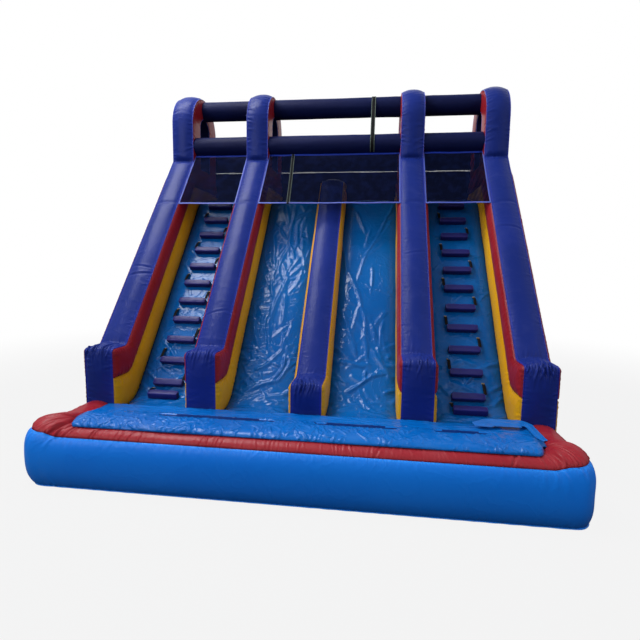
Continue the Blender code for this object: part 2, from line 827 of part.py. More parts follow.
def swept_wall(name, outline, material, parent):
    """Sweep an outline of (outward, up) points round the pool, with its corners risen."""
    lines = [pool_line(out) for out, _ in outline]
    sections = []
    for stations in zip(*lines):
        loop = []
        for (x, y, rise), (_, up) in zip(stations, outline):
            loop.append((x, y, up + rise * CORNER_RISE * min(up / POOL_HEIGHT, 1.0)))
        sections.append(loop)
    body = Body()
    body.loft(sections, split=True)
    return body.finish(name, [material], parent)


def pool_wall(material, parent):
    """Build the blue U-shaped wall of the landing pool, bulged on its outer side."""
    half = POOL_WIDTH / 2
    outline = [(-half, POOL_HEIGHT), (-half, 0.0)]
    for step in range(POOL_WALL_STEPS + 1):
        share = step / POOL_WALL_STEPS
        outline.append((half + POOL_BULGE * math.sin(math.pi * share), POOL_HEIGHT * share))
    return swept_wall("pool_wall", outline, material, parent)


def pool_rim(material, parent):
    """Build the red tube that lies on top of the pool wall."""
    half = POOL_WIDTH / 2
    base = POOL_HEIGHT + CLEARANCE
    outline = []
    for step in range(RIM_STEPS + 1):
        angle = math.pi * (1 - step / RIM_STEPS)
        outline.append((half * math.cos(angle), base + RIM_HEIGHT * math.sin(angle)))
    return swept_wall("pool_rim", outline, material, parent)


def mattress_section(inset, roll_height, corner_share):
    """Return the mattress outline in (y, z), its roll drawn back by the inset.

    The corner share says how far across the rounded corner of the part in the pool the section lies.
    """
    base = POOL_HEIGHT + RIM_HEIGHT + 2 * CLEARANCE
    body_inset = ROLL_CORNER_RADIUS * (1 - math.sqrt(1 - corner_share * corner_share))
    body_front = POOL_FRONT_Y + POOL_WIDTH / 2 + CLEARANCE + body_inset
    front = ROLL_FRONT + inset
    groove_back = GROOVE_Y + GROOVE_WIDTH / 2
    groove_front = GROOVE_Y - GROOVE_WIDTH / 2
    roll_middle = (groove_front + front) / 2
    roll_half = (groove_front - front) / 2
    loop = [
        (-CLEARANCE, 0.0),
        (-CLEARANCE, MATTRESS_BACK_HEIGHT),
        (groove_back * MATTRESS_CROWN_SHARE, MATTRESS_TOP),
        (groove_back, MATTRESS_TOP),
        (GROOVE_Y, MATTRESS_TOP - GROOVE_DEPTH),
    ]
    for step in range(ROLL_STEPS + 1):
        angle = math.pi * step / ROLL_STEPS
        loop.append((roll_middle + roll_half * math.cos(angle), base + roll_height * math.sin(angle)))
    loop.extend([(body_front, base), (body_front, 0.0)])
    return loop


def landing_mattress(material, parent):
    """Build the mattress in the pool, with a crowned roll that overhangs the rim in front."""
    half = POOL_SIDE_X - POOL_WIDTH / 2 - CLEARANCE
    roll_end = half - ROLL_END_MARGIN
    overhang = POOL_FRONT_Y + POOL_WIDTH / 2 - ROLL_FRONT
    deepest_inset = overhang - CLEARANCE
    stations = []
    for step in range(ROLL_END_STEPS + 1):
        angle = math.pi / 2 * step / ROLL_END_STEPS
        inset = deepest_inset * (1 - math.cos(angle))
        height = ROLL_END_HEIGHT + (ROLL_HEIGHT - ROLL_END_HEIGHT) * math.cos(angle)
        stations.append((roll_end - ROLL_CORNER_RADIUS * (1 - math.sin(angle)), inset, height))
    stations.append((half, deepest_inset, ROLL_END_HEIGHT))
    mirrored = [(-x, inset, height) for x, inset, height in reversed(stations)]
    sections = []
    for x, inset, height in [*mirrored, *stations]:
        corner_share = max(abs(x) - half + ROLL_CORNER_RADIUS, 0.0) / ROLL_CORNER_RADIUS
        sections.append([(x, *point) for point in mattress_section(inset, height, corner_share)])
    body = Body()
    body.loft(sections)
    return body.finish("landing_mattress", [material], parent)


def corner_flap(material, parent):
    """Build the loose sheet that lies over the mattress's right-hand end, its outer edge raised."""
    tip_x = FLAP_SIDE_X - FLAP_BACK_LENGTH
    outer = rounded_path([
        (tip_x, FLAP_BACK_Y - FLAP_TIP_SETBACK, 0),
        (tip_x + FLAP_TIP_RUN, FLAP_BACK_Y, FLAP_CORNER_RADIUS),
        (FLAP_SIDE_X, FLAP_BACK_Y, FLAP_CORNER_RADIUS),
        (FLAP_SIDE_X, FLAP_BACK_Y - FLAP_SIDE_LENGTH, 0),
    ])
    outer = spaced(outer, FLAP_SIDE_LENGTH / 2)
    base = POOL_HEIGHT + RIM_HEIGHT + ROLL_END_HEIGHT + 3 * CLEARANCE
    sections = []
    for index, point in enumerate(outer):
        first = outer[max(index - 1, 0)]
        second = outer[min(index + 1, len(outer) - 1)]
        along = (second - first).normalized()
        inward = Vector((along.y, -along.x))
        turned = max(-along.y, 0.0)
        width = FLAP_BACK_WIDTH + (FLAP_SIDE_WIDTH - FLAP_BACK_WIDTH) * turned
        if index in (0, len(outer) - 1):
            width = FLAP_TIP_WIDTH
        inner = point + inward * width
        rise = FLAP_RISE * (1 - turned)
        sections.append([
            (point.x, point.y, base + rise),
            (inner.x, inner.y, base),
            (inner.x, inner.y, base + FLAP_THICKNESS),
            (point.x, point.y, base + rise + FLAP_THICKNESS),
        ])
    body = Body()
    body.loft(sections)
    return body.finish("corner_flap", [material], parent)


def sleeve_angle():
    """Return the direction in (y, z) in which the front beams' shared tangent touches them."""
    run = LOWER_BEAM_Y - TOP_BEAM_Y
    rise = LOWER_BEAM_HEIGHT - TOP_BEAM_HEIGHT
    return math.atan2(-run, rise)


def beam(name, low_x, high_x, centre, phase, material, parent):
    """Build a round beam between two flat wall faces, with one corner of its outline at the phase."""
    half = (high_x - low_x) / 2 - CLEARANCE
    loop = []
    for side in range(BEAM_SIDES):
        angle = phase + 2 * math.pi * side / BEAM_SIDES
        loop.append((BEAM_RADIUS * math.cos(angle), BEAM_RADIUS * math.sin(angle)))
    body = Body()
    body.loft([[(x, *point) for point in loop] for x in (-half, half)])
    return body.finish(name, [material], parent, location=((low_x + high_x) / 2, *centre))


def beam_sleeve(material, parent):
    """Build the flat sleeve that hangs over the top beam and down the lower beam."""
    top = Vector((TOP_BEAM_Y, TOP_BEAM_HEIGHT))
    lower = Vector((LOWER_BEAM_Y, LOWER_BEAM_HEIGHT))
    touch = sleeve_angle()
    step = 2 * math.pi / BEAM_SIDES
    inner_radius = BEAM_RADIUS + CLEARANCE / math.cos(step / 2)
    outer_radius = inner_radius + BEAM_SLEEVE_THICKNESS / math.cos(step / 2)
    turns = [(top, touch - 2 * step), (top, touch - step), (top, touch),
             (lower, touch), (lower, touch + step), (lower, touch + 2 * step), (lower, touch + 3 * step)]
    rows = []
    for centre, angle in turns:
        outward = Vector((math.cos(angle), math.sin(angle)))
        rows.append((centre + outward * inner_radius, centre + outward * outer_radius))
    rows[-1] = tuple(first.lerp(second, BEAM_SLEEVE_END_SHARE) for first, second in zip(rows[-2], rows[-1]))
    half = BEAM_SLEEVE_WIDTH / 2
    body = Body()
    body.loft([[(-half, *inner), (half, *inner), (half, *outer), (-half, *outer)] for inner, outer in rows])
    return body.finish("beam_sleeve", [material], parent, location=(BEAM_SLEEVE_X, 0.0, 0.0))


def inflation_place():
    """Return the x and the z of the inflation sleeve's axis."""
    half = OUTER_WALL_X + WALL_THICKNESS / 2
    pitch = 2 * half / REAR_BAFFLE_COUNT
    return -half + pitch * (INFLATION_BAFFLE + 0.5), INFLATION_RADIUS * math.cos(math.pi / INFLATION_SIDES)


def rear_chambers(port_places):
    """Return the cutters for the rear wall's chambers, one to a baffle, and for their ports."""
    half = OUTER_WALL_X + WALL_THICKNESS / 2
    pitch = 2 * half / REAR_BAFFLE_COUNT
    skin = CHAMBER_SKIN
    back = REAR_WALL_THICKNESS - skin
    side = PORT_SIZE / 2
    middle = REAR_WALL_THICKNESS / 2
    cutters = []
    for baffle in range(REAR_BAFFLE_COUNT):
        left = pitch * baffle - half
        low = max(left + skin / 2, skin - half)
        high = min(left + pitch - skin / 2, half - skin)
        cutters.append(block((low, skin, skin), (high, back, REAR_WALL_HEIGHT - REAR_TOP_RADIUS)))
        if baffle > 0:
            cutters.append(block((left - skin, middle - side, VENT_HEIGHT - side),
                                 (left + skin, middle + side, VENT_HEIGHT + side)))
    for x in port_places:
        cutters.append(block((x - side, -CUT_OVERRUN, PORT_HEIGHT - side),
                             (x + side, skin + CUT_OVERRUN, PORT_HEIGHT + side)))
    x, z = inflation_place()
    radius = INFLATION_RADIUS - INFLATION_WALL - skin
    outline = [(x + point.x, z + point.y) for point in circle(radius, INFLATION_SIDES)]
    outer = REAR_WALL_THICKNESS + REAR_BAFFLE_BULGE + CUT_OVERRUN
    cutters.append(prism(outline, back - CUT_OVERRUN, outer, lambda first, second, y: (first, y, second)))
    return cutters


def rear_wall(port_places, material, parent):
    """Build the rear wall with upright baffles on its back, and ports to the chambers before it."""
    half = OUTER_WALL_X + WALL_THICKNESS / 2
    pitch = 2 * half / REAR_BAFFLE_COUNT
    levels = [(0.0, 0.0)]
    levels.extend((REAR_WALL_HEIGHT - REAR_TOP_RADIUS + REAR_TOP_RADIUS * math.sin(angle),
                   REAR_TOP_RADIUS * (1 - math.cos(angle)))
                  for angle in (0.0, math.pi / 4, math.pi / 2))
    sections = []
    for height, inset in levels:
        loop = [(-half, 0.0, height), (half, 0.0, height)]
        for baffle in reversed(range(REAR_BAFFLE_COUNT)):
            for share in reversed(REAR_BAFFLE_SHOULDER_SHARES):
                bulge = REAR_BAFFLE_BULGE if share > 0 else 0.0
                x = -half + pitch * (baffle + share)
                loop.append((x, REAR_WALL_THICKNESS + bulge - inset, height))
        loop.insert(2, (half, REAR_WALL_THICKNESS - inset, height))
        sections.append(loop)
    body = Body()
    body.loft(sections)
    made = body.finish("rear_wall", [material], parent, location=(0.0, wall_back() + CLEARANCE, 0.0))
    cut_out(made, rear_chambers(port_places))


def bars(width, count, cord, hem, wide=()):
    """Return the edges of a net's bars and gaps across its width, and which stretches are bars."""
    pitch = (width - 2 * hem + cord) / count
    spans = [(0.0, hem)]
    spans.extend((hem + pitch * number - cord, hem + pitch * number) for number in range(1, count))
    spans.append((width - hem, width))
    for low, high in wide:
        spans = [span for span in spans if span[1] < low or span[0] > high]
        spans.append((low, high))
    spans.sort()
    edges = []
    solid = []
    for number, (low, high) in enumerate(spans):
        if number:
            solid.append(False)
        edges.extend((low, high))
        solid.append(True)
    return edges, solid


def net(name, low_x, high_x, columns, materials, parent, sleeve_x=None):
    """Build a net in the plane of the walls' slope, from its lower hem up to the lower beam."""
    width = high_x - low_x - 2 * NET_SIDE_GAP
    away = Vector((LOWER_BEAM_Y - ARCH_FRONT, LOWER_BEAM_HEIGHT - CREASE_HEIGHT))
    slope = Vector((math.cos(SLOPE_ANGLE), math.sin(SLOPE_ANGLE)))
    along = away.dot(slope)
    across = away.x * slope.y - away.y * slope.x
    touch = along - math.sqrt(BEAM_RADIUS ** 2 - across ** 2)
    lean = abs(across) / BEAM_RADIUS
    length = NET_LENGTH_BELOW_CREASE + touch - CLEARANCE - lean * NET_THICKNESS / 2
    wide = []
    if sleeve_x is not None:
        middle = sleeve_x - low_x - NET_SIDE_GAP
        wide = [(middle - HOSE_SLEEVE_WIDTH / 2, middle + HOSE_SLEEVE_WIDTH / 2)]
    x_edges, x_solid = bars(width, columns, NET_CORD, NET_HEM, wide)
    y_edges, y_solid = bars(length, NET_ROWS, NET_CORD, NET_HEM)
    half = NET_THICKNESS / 2
    body = Body()

    def filled(column, row):
        in_net = 0 <= column < len(x_solid) and 0 <= row < len(y_solid)
        return in_net and (x_solid[column] or y_solid[row])

    for column in range(len(x_solid)):
        for row in range(len(y_solid)):
            if not filled(column, row):
                continue
            x0, x1 = x_edges[column], x_edges[column + 1]
            y0, y1 = y_edges[row], y_edges[row + 1]
            for z in (-half, half):
                body.face(((x0, y0, z), (x1, y0, z), (x1, y1, z), (x0, y1, z)))
            sides = (((x0, y0), (x0, y1), column - 1, row), ((x1, y0), (x1, y1), column + 1, row),
                     ((x0, y0), (x1, y0), column, row - 1), ((x0, y1), (x1, y1), column, row + 1))
            for first, second, next_column, next_row in sides:
                if not filled(next_column, next_row):
                    body.face(((*first, -half), (*second, -half), (*second, half), (*first, half)))
    hem_y = ARCH_FRONT - NET_LENGTH_BELOW_CREASE * slope.x
    hem_z = CREASE_HEIGHT - NET_LENGTH_BELOW_CREASE * slope.y
    return body.finish(name, materials, parent, location=(low_x + NET_SIDE_GAP, hem_y, hem_z),
                       rotation=(SLOPE_ANGLE, 0.0, 0.0))


def bored_prism(outline, bore, low, high, place):
    """Return a body with a hole right through, its flat ends at low and high along the third axis."""
    body = Body()
    for height in (low, high):
        for triangle in triangulate([outline], [bore]):
            body.face([place(point.x, point.y, height) for point in triangle])
    for loop in (outline, bore):
        rows = [[place(point.x, point.y, height) for point in loop] for height in (low, high)]
        body.strip(*rows, closed=True)
    return body


def inflation_sleeve(material, parent):
    """Build the open fabric tube at the back that the blower's air comes in through."""
    phase = math.pi / INFLATION_SIDES
    outline = circle(INFLATION_RADIUS, INFLATION_SIDES, phase)
    bore = circle(INFLATION_RADIUS - INFLATION_WALL, INFLATION_SIDES, phase)
    body = bored_prism(outline, bore, 0.0, INFLATION_LENGTH, lambda x, z, y: (x, y, z))
    start = wall_back() + REAR_WALL_THICKNESS + REAR_BAFFLE_BULGE + 2 * CLEARANCE
    x, z = inflation_place()
    return body.finish("inflation_sleeve", [material], parent, location=(x, start, z))


def deflation_zip(tape_material, slider_material, parent):
    """Build the zip on the rear wall's end: its tape with a raised chain, and its slider."""
    face_x = OUTER_WALL_X + WALL_THICKNESS / 2 + CLEARANCE
    centre_y = wall_back() + CLEARANCE + REAR_WALL_THICKNESS / 2
    half = ZIP_TAPE_WIDTH / 2
    chain = ZIP_CHAIN_WIDTH / 2
    chain_top = ZIP_TAPE_THICKNESS + ZIP_CHAIN_HEIGHT
    tape = [(0.0, -half), (ZIP_TAPE_THICKNESS, -half), (ZIP_TAPE_THICKNESS, -chain), (chain_top, -chain),
            (chain_top, chain), (ZIP_TAPE_THICKNESS, chain), (ZIP_TAPE_THICKNESS, half), (0.0, half)]
    body = prism(tape, 0.0, ZIP_TAPE_LENGTH, lambda x, y, z: (x, y, z))
    body.finish("zip_tape", [tape_material], parent, location=(face_x, centre_y, ZIP_TAPE_BOTTOM))

    side = SLIDER_WIDTH / 2
    groove = chain + CLEARANCE
    bottom = ZIP_TAPE_THICKNESS + CLEARANCE
    roof = chain_top + CLEARANCE
    top = bottom + SLIDER_THICKNESS
    shell = [(bottom, -side), (top, -side), (top, side), (bottom, side), (bottom, groove), (roof, groove),
             (roof, -groove), (bottom, -groove)]
    place = (face_x, centre_y, ZIP_TAPE_BOTTOM + SLIDER_TRAVEL_MARGIN)
    slider = prism(shell, 0.0, SLIDER_LENGTH, lambda x, y, z: (x, y, z)).finish(
        "zip_slider", [slider_material], parent, location=place)
    pull_side = PULL_WIDTH / 2
    pull_back = top - PULL_THICKNESS / 2
    pull = [(pull_back, -pull_side), (pull_back + PULL_THICKNESS, -pull_side),
            (pull_back + PULL_THICKNESS, pull_side), (pull_back, pull_side)]
    pull_top = SLIDER_LENGTH / 2
    added = prism(pull, pull_top - PULL_LENGTH, pull_top, lambda x, y, z: (x, y, z)).finish(
        "zip_pull", [slider_material], parent, location=place)
    slider.data = combined_mesh(slider, added, "UNION")


def anchor_tab(name, side, centre_y, material, parent):
    """Build a webbing tab on a wall's outer face, folded round the ring's straight bar."""
    face_x = side * (OUTER_WALL_X + WALL_THICKNESS / 2 + CLEARANCE)
    centre = Vector((TAB_LOOP_RADIUS, 0.0))
    start = math.acos((TAB_THICKNESS - TAB_LOOP_RADIUS) / TAB_LOOP_RADIUS)
    steps = BORE_SIDES
    outline = [Vector((0.0, TAB_LENGTH)), Vector((TAB_THICKNESS, TAB_LENGTH))]
    for step in range(steps + 1):
        angle = start - (start + math.pi) * step / steps
        outline.append(centre + Vector((math.cos(angle), math.sin(angle))) * TAB_LOOP_RADIUS)
    bore = [centre + point for point in circle(TAB_BORE_RADIUS, BORE_SIDES)]
    half = TAB_WIDTH / 2
    body = bored_prism(outline, bore, -half, half, lambda x, z, y: (side * x, y, z))
    body.finish(name, [material], parent, location=(face_x, centre_y, ANCHOR_HEIGHT))


def anchor_ring(name, side, centre_y, material, parent):
    """Build a D-ring that hangs from its tab, with its origin on the bar's axis."""
    axis_x = side * (OUTER_WALL_X + WALL_THICKNESS / 2 + CLEARANCE + TAB_LOOP_RADIUS)
    path = rounded_path([
        (0.0, 0.0, 0),
        (RING_HALF_WIDTH, 0.0, RING_CORNER_RADIUS),
        (RING_HALF_WIDTH, -RING_STRAIGHT - RING_HALF_WIDTH, RING_HALF_WIDTH - RING_CORNER_RADIUS),
        (-RING_HALF_WIDTH, -RING_STRAIGHT - RING_HALF_WIDTH, RING_HALF_WIDTH - RING_CORNER_RADIUS),
        (-RING_HALF_WIDTH, 0.0, RING_CORNER_RADIUS),
        (0.0, 0.0, 0),
    ])[:-1]
    sections = []
    for before, here, after in zip([path[-1], *path], path, [*path[1:], path[0]]):
        along = ((here - before).normalized() + (after - here).normalized()).normalized()
        outward = Vector((-along.y, along.x))
        loop = []
        for point in circle(RING_WIRE_RADIUS, RING_SIDES):
            place = here + outward * point.x
            loop.append((point.y, place.x, place.y))
        sections.append(loop)
    body = Body()
    body.loft(sections, ring=True)
    body.finish(name, [material], parent, location=(axis_x, centre_y, ANCHOR_HEIGHT))


def stand_on_origin(frame):
    """Move the assembly so that its box stands on z = 0 with its middle on the Z axis."""
    bpy.context.view_layer.update()
    places = [child.matrix_world @ Vector(corner) for child in frame.children for corner in child.bound_box]
    lowest = [min(place[axis] for place in places) for axis in range(3)]
    highest = [max(place[axis] for place in places) for axis in range(3)]
    frame.location = (-(lowest[0] + highest[0]) / 2, -(lowest[1] + highest[1]) / 2, -lowest[2])


def main():
    """Build the whole slide."""
    for old in list(bpy.data.objects):
        bpy.data.objects.remove(old)

    navy = flat_material("navy_vinyl", (0.035, 0.05, 0.30), 0.32)
    red = flat_material("red_vinyl", (0.36, 0.025, 0.035), 0.35)
    yellow = flat_material("yellow_vinyl", (0.78, 0.48, 0.02), 0.35)
    light_blue = flat_material("light_blue_vinyl", (0.012, 0.17, 0.55), 0.28)
    indigo = flat_material("indigo_vinyl", (0.03, 0.03, 0.18), 0.4)
    mesh_black = flat_material("net_mesh", (0.02, 0.02, 0.03), 0.8)
    webbing = flat_material("black_webbing", (0.015, 0.015, 0.015), 0.85)
    steel = flat_material("zinc_steel", (0.6, 0.6, 0.6), 0.35, 1.0)

    frame = bpy.data.objects.new("slide_frame", None)
    bpy.context.collection.objects.link(frame)

    half = WALL_THICKNESS / 2
    wall_centres = {"wall_left_outer": -OUTER_WALL_X, "wall_left_inner": -INNER_WALL_X,
                    "wall_right_inner": INNER_WALL_X, "wall_right_outer": OUTER_WALL_X}
    for name, centre_x in wall_centres.items():
        tall_wall(name, centre_x, [navy, red, yellow], frame)
    centre_divider([navy, red, yellow], frame)

    climb = (INNER_WALL_X + half, OUTER_WALL_X - half)
    slide = (half, INNER_WALL_X - half)
    middle_bay = (-slide[1], slide[1])
    bays = {"left": (-climb[1], -climb[0]), "middle": middle_bay, "right": climb}
    lane_bed("climb_bed_left", *bays["left"], light_blue, frame)
    lane_bed("slide_bed_left", -slide[1], -slide[0], light_blue, frame)
    lane_bed("slide_bed_right", *slide, light_blue, frame)
    lane_bed("climb_bed_right", *bays["right"], light_blue, frame)
    lane_middle = sum(climb) / 2
    climbing_steps("left", -lane_middle, indigo, webbing, frame)
    climbing_steps("right", lane_middle, indigo, webbing, frame)

    landing_mattress(light_blue, frame)
    corner_flap(light_blue, frame)
    pool_wall(light_blue, frame)
    pool_rim(red, frame)

    touch = sleeve_angle()
    for bay, (low_x, high_x) in bays.items():
        beam(f"top_beam_{bay}", low_x, high_x, (TOP_BEAM_Y, TOP_BEAM_HEIGHT), touch, navy, frame)
        beam(f"lower_beam_{bay}", low_x, high_x, (LOWER_BEAM_Y, LOWER_BEAM_HEIGHT), touch, navy, frame)
        columns = MIDDLE_NET_COLUMNS if bay == "middle" else SIDE_NET_COLUMNS
        sleeve_x = HOSE_SLEEVE_X if bay == "middle" else None
        net(f"net_{bay}", low_x, high_x, columns, [mesh_black], frame, sleeve_x)
    beam_sleeve(webbing, frame)

    slide_middle = sum(slide) / 2
    port_places = [0.0, *wall_centres.values()]
    port_places.extend(side * middle for side in (-1, 1) for middle in (lane_middle, slide_middle))
    rear_wall(port_places, navy, frame)
    width = OUTER_WALL_X + half
    rear_centre = (wall_back() + BEAM_RADIUS + CLEARANCE, REAR_BEAM_HEIGHT)
    beam("rear_beam", -width, width, rear_centre, math.pi, navy, frame)
    inflation_sleeve(navy, frame)
    deflation_zip(webbing, steel, frame)

    for side, side_name in ((-1, "left"), (1, "right")):
        for end_name, centre_y in (("front", ANCHOR_FRONT_Y), ("back", ANCHOR_BACK_Y)):
            anchor_tab(f"anchor_tab_{side_name}_{end_name}", side, centre_y, webbing, frame)
            anchor_ring(f"anchor_ring_{side_name}_{end_name}", side, centre_y, steel, frame)

    stand_on_origin(frame)


main()
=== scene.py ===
"""Dresses the inflatable water slide: coated cloth, seams, pleats, nets, straps and the landing pool.

The side view of the slide is worked out in (y, z) from the pillars' front faces and the ground. The
frame says where those front faces lie, and every piece is moved there when its mesh is built.
"""

from __future__ import annotations

import logging
import math
from dataclasses import dataclass
from enum import Enum
from functools import cached_property
from typing import Any, Mapping, Sequence

import bmesh
import bpy
import numpy as np
from mathutils import Matrix, Vector
from mathutils.geometry import delaunay_2d_cdt


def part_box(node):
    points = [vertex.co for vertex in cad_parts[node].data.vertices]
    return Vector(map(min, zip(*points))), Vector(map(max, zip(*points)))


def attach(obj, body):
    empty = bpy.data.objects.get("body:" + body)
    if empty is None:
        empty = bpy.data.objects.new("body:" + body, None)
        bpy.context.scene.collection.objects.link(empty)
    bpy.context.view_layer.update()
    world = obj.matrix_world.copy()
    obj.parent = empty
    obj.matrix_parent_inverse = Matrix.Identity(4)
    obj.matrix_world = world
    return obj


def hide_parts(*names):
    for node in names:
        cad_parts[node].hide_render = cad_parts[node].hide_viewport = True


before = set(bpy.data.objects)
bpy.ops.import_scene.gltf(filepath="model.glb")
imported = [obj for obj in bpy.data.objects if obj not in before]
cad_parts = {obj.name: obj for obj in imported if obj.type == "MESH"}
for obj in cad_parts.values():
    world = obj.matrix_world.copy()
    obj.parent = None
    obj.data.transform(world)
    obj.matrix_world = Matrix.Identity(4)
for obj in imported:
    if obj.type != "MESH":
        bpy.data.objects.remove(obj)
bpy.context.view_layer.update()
# Where the pillars' front faces lie in the frame, along Y.
FRONT_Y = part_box("climb_bed_left")[0].y
BODY = "slide"
LOG = logging.getLogger("water_slide")

Array = np.ndarray
Colour = tuple[float, float, float]

# Points closer than this are joined, in metres.
WELD = 0.0001
# The gap left between the pool's pieces, in metres.
CLEARANCE = 0.0003
# Each wall from the left: its node, its seed, which side is open to view down to the ground, and the
# creases across its tube, each with its height, depth and lean.
WALLS = (("wall_left_outer", 17, -1, ((2.5, 0.011, 0.12), (2.62, 0.005, -0.1))),
         ("wall_left_inner", 67, 0, ((1.95, 0.004, 0.2),)),
         ("wall_right_inner", 117, 0, ((2.9, 0.004, 0.15),)),
         ("wall_right_outer", 167, 1, ((3.35, 0.009, -0.12),)))
# Each lane from the left: its node, its liner's seed and how many long folds the liner has.
LANES = (("climb_bed_left", 401, 0), ("slide_bed_left", 421, 34), ("slide_bed_right", 441, 12),
         ("climb_bed_right", 461, 0))
# Each bay from the left: its name, and where its net's sleeve starts and ends across it.
BAYS = (("left", None), ("middle", (-0.72, -0.79)), ("right", None))
# The first seed of each row of like pieces.
DIVIDER_SEED, UPPER_BEAM_SEED, FRONT_BEAM_SEED, NET_SEED, REAR_BEAM_SEED = 301, 501, 521, 541, 561


def from_hex(text: str) -> Colour:
    """Turn a display colour such as "23298A" into linear light."""
    values = [int(text[index:index + 2], 16) / 255 for index in (0, 2, 4)]
    return tuple(value / 12.92 if value <= 0.04045 else ((value + 0.055) / 1.055) ** 2.4 for value in values)


def shades(text: str) -> list[Colour]:
    """Turn display colours with spaces between them into linear light."""
    return [from_hex(word) for word in text.split()]


class Slot(Enum):
    """The names of the record's material slots."""

    NAVY = "navy_vinyl"
    RED = "red_vinyl"
    LIGHT_BLUE = "light_blue_vinyl"
    INDIGO = "indigo_vinyl"
    NET = "net_mesh"
    WEBBING = "black_webbing"


class Side(Enum):
    """The two sides of the slide, with their sign along X."""

    LEFT = -1
    RIGHT = 1


class Wire:
    """A shader value that takes part in Python sums, each of which adds its Math node."""

    def __init__(self, bench: "Bench", socket: bpy.types.NodeSocket) -> None:
        """Wrap an output socket of the bench's node tree."""
        self.bench = bench
        self.socket = socket

    def _math(self, operation: str, first: Any, second: Any) -> "Wire":
        """Return the Math node of two values."""
        return self.bench.node("ShaderNodeMath", {"operation": operation}, {0: first, 1: second})

    def __add__(self, other: Any) -> "Wire":
        """Return the sum."""
        return self._math("ADD", self, other)

    __radd__ = __add__

    def __mul__(self, other: Any) -> "Wire":
        """Return the product."""
        return self._math("MULTIPLY", self, other)

    __rmul__ = __mul__

    def __sub__(self, other: Any) -> "Wire":
        """Return the difference."""
        return self._math("SUBTRACT", self, other)

    def __rsub__(self, other: Any) -> "Wire":
        """Return the difference from a number."""
        return self._math("SUBTRACT", other, self)

    def __pow__(self, other: Any) -> "Wire":
        """Return the power."""
        return self._math("POWER", self, other)

    def __abs__(self) -> "Wire":
        """Return the size without its sign."""
        return self._math("ABSOLUTE", self, 0.0)

    def smooth(self, low: float, high: float) -> "Wire":
        """Return a soft step that rises from 0 at low to 1 at high."""
        return self.bench.node("ShaderNodeMapRange", {"interpolation_type": "SMOOTHSTEP"},
                               {"Value": self, "From Min": low, "From Max": high})

    def ridge(self) -> "Wire":
        """Return sharp crests where a noise value crosses its middle."""
        return 1 - abs(self * 2 - 1)

    def swing(self) -> "Wire":
        """Return a sine wave of the value, -1 to 1."""
        return self._math("SINE", self, 0.0)


class Bench:
    """Makes the nodes of one material or of the world."""

    def __init__(self, tree: bpy.types.NodeTree) -> None:
        """Start on a node tree with its nodes removed."""
        self.tree = tree
        tree.nodes.clear()

    def node(self, kind: str, settings: Mapping[str, Any] | None = None,
             sockets: Mapping[Any, Any] | None = None, output: Any = 0) -> Wire | None:
        """Add a node.

        Args:
            kind: The node's type.
            settings: The node's own properties, set first.
            sockets: Values or wires for its input sockets, by name or number.
            output: The output socket's name or number.

        Returns:
            The wire that leaves the output socket, or None for a node without outputs.
        """
        made = self.tree.nodes.new(kind)
        for name, value in (settings or {}).items():
            setattr(made, name, value)
        for key, value in (sockets or {}).items():
            if isinstance(value, Wire):
                self.tree.links.new(value.socket, made.inputs[key])
            else:
                made.inputs[key].default_value = value
        return Wire(self, made.outputs[output]) if len(made.outputs) else None

    def noise(self, place: Any, scale: float, detail: float = 2.0, distortion: float = 0.0) -> Wire:
        """Return a noise texture's value, about 0.5 on average."""
        return self.node("ShaderNodeTexNoise", None, {"Vector": place, "Scale": scale, "Detail": detail,
                                                      "Distortion": distortion}, "Fac")

    def attribute(self, name: str) -> Wire:
        """Return a number that the mesh stores at each of its points."""
        return self.node("ShaderNodeAttribute", {"attribute_name": name}, output="Fac")

    def vector(self, x: Any = 0.0, y: Any = 0.0, z: Any = 0.0) -> Wire:
        """Return the vector of three numbers or wires."""
        return self.node("ShaderNodeCombineXYZ", None, {0: x, 1: y, 2: z})

    def part_of(self, vector: Wire, axis: str) -> Wire:
        """Return one axis of a vector."""
        return self.node("ShaderNodeSeparateXYZ", None, {0: vector}, axis)

    def mixed(self, first: Any, second: Any, share: Any) -> Wire:
        """Return one colour or wire turned into another by a share."""
        ends = [value if isinstance(value, Wire) else (*value, 1.0) for value in (first, second)]
        return self.node("ShaderNodeMix", {"data_type": "RGBA"}, {0: share, 6: ends[0], 7: ends[1]}, 2)


@dataclass(frozen=True)
class Finish:
    """What all finishes share: a name and a material made once."""

    name: str

    def material(self) -> bpy.types.Material:
        """Return the finish's material, made on first use.

        Returns:
            The material.
        """
        known = bpy.data.materials.get(self.name)
        if known:
            return known
        made = bpy.data.materials.new(self.name)
        made.use_nodes = True
        bench = Bench(made.node_tree)
        bench.node("ShaderNodeOutputMaterial", None, {"Surface": self.surface(bench)})
        return made

    def surface(self, bench: Bench) -> Wire:
        """Return the shader that covers a piece."""
        raise NotImplementedError


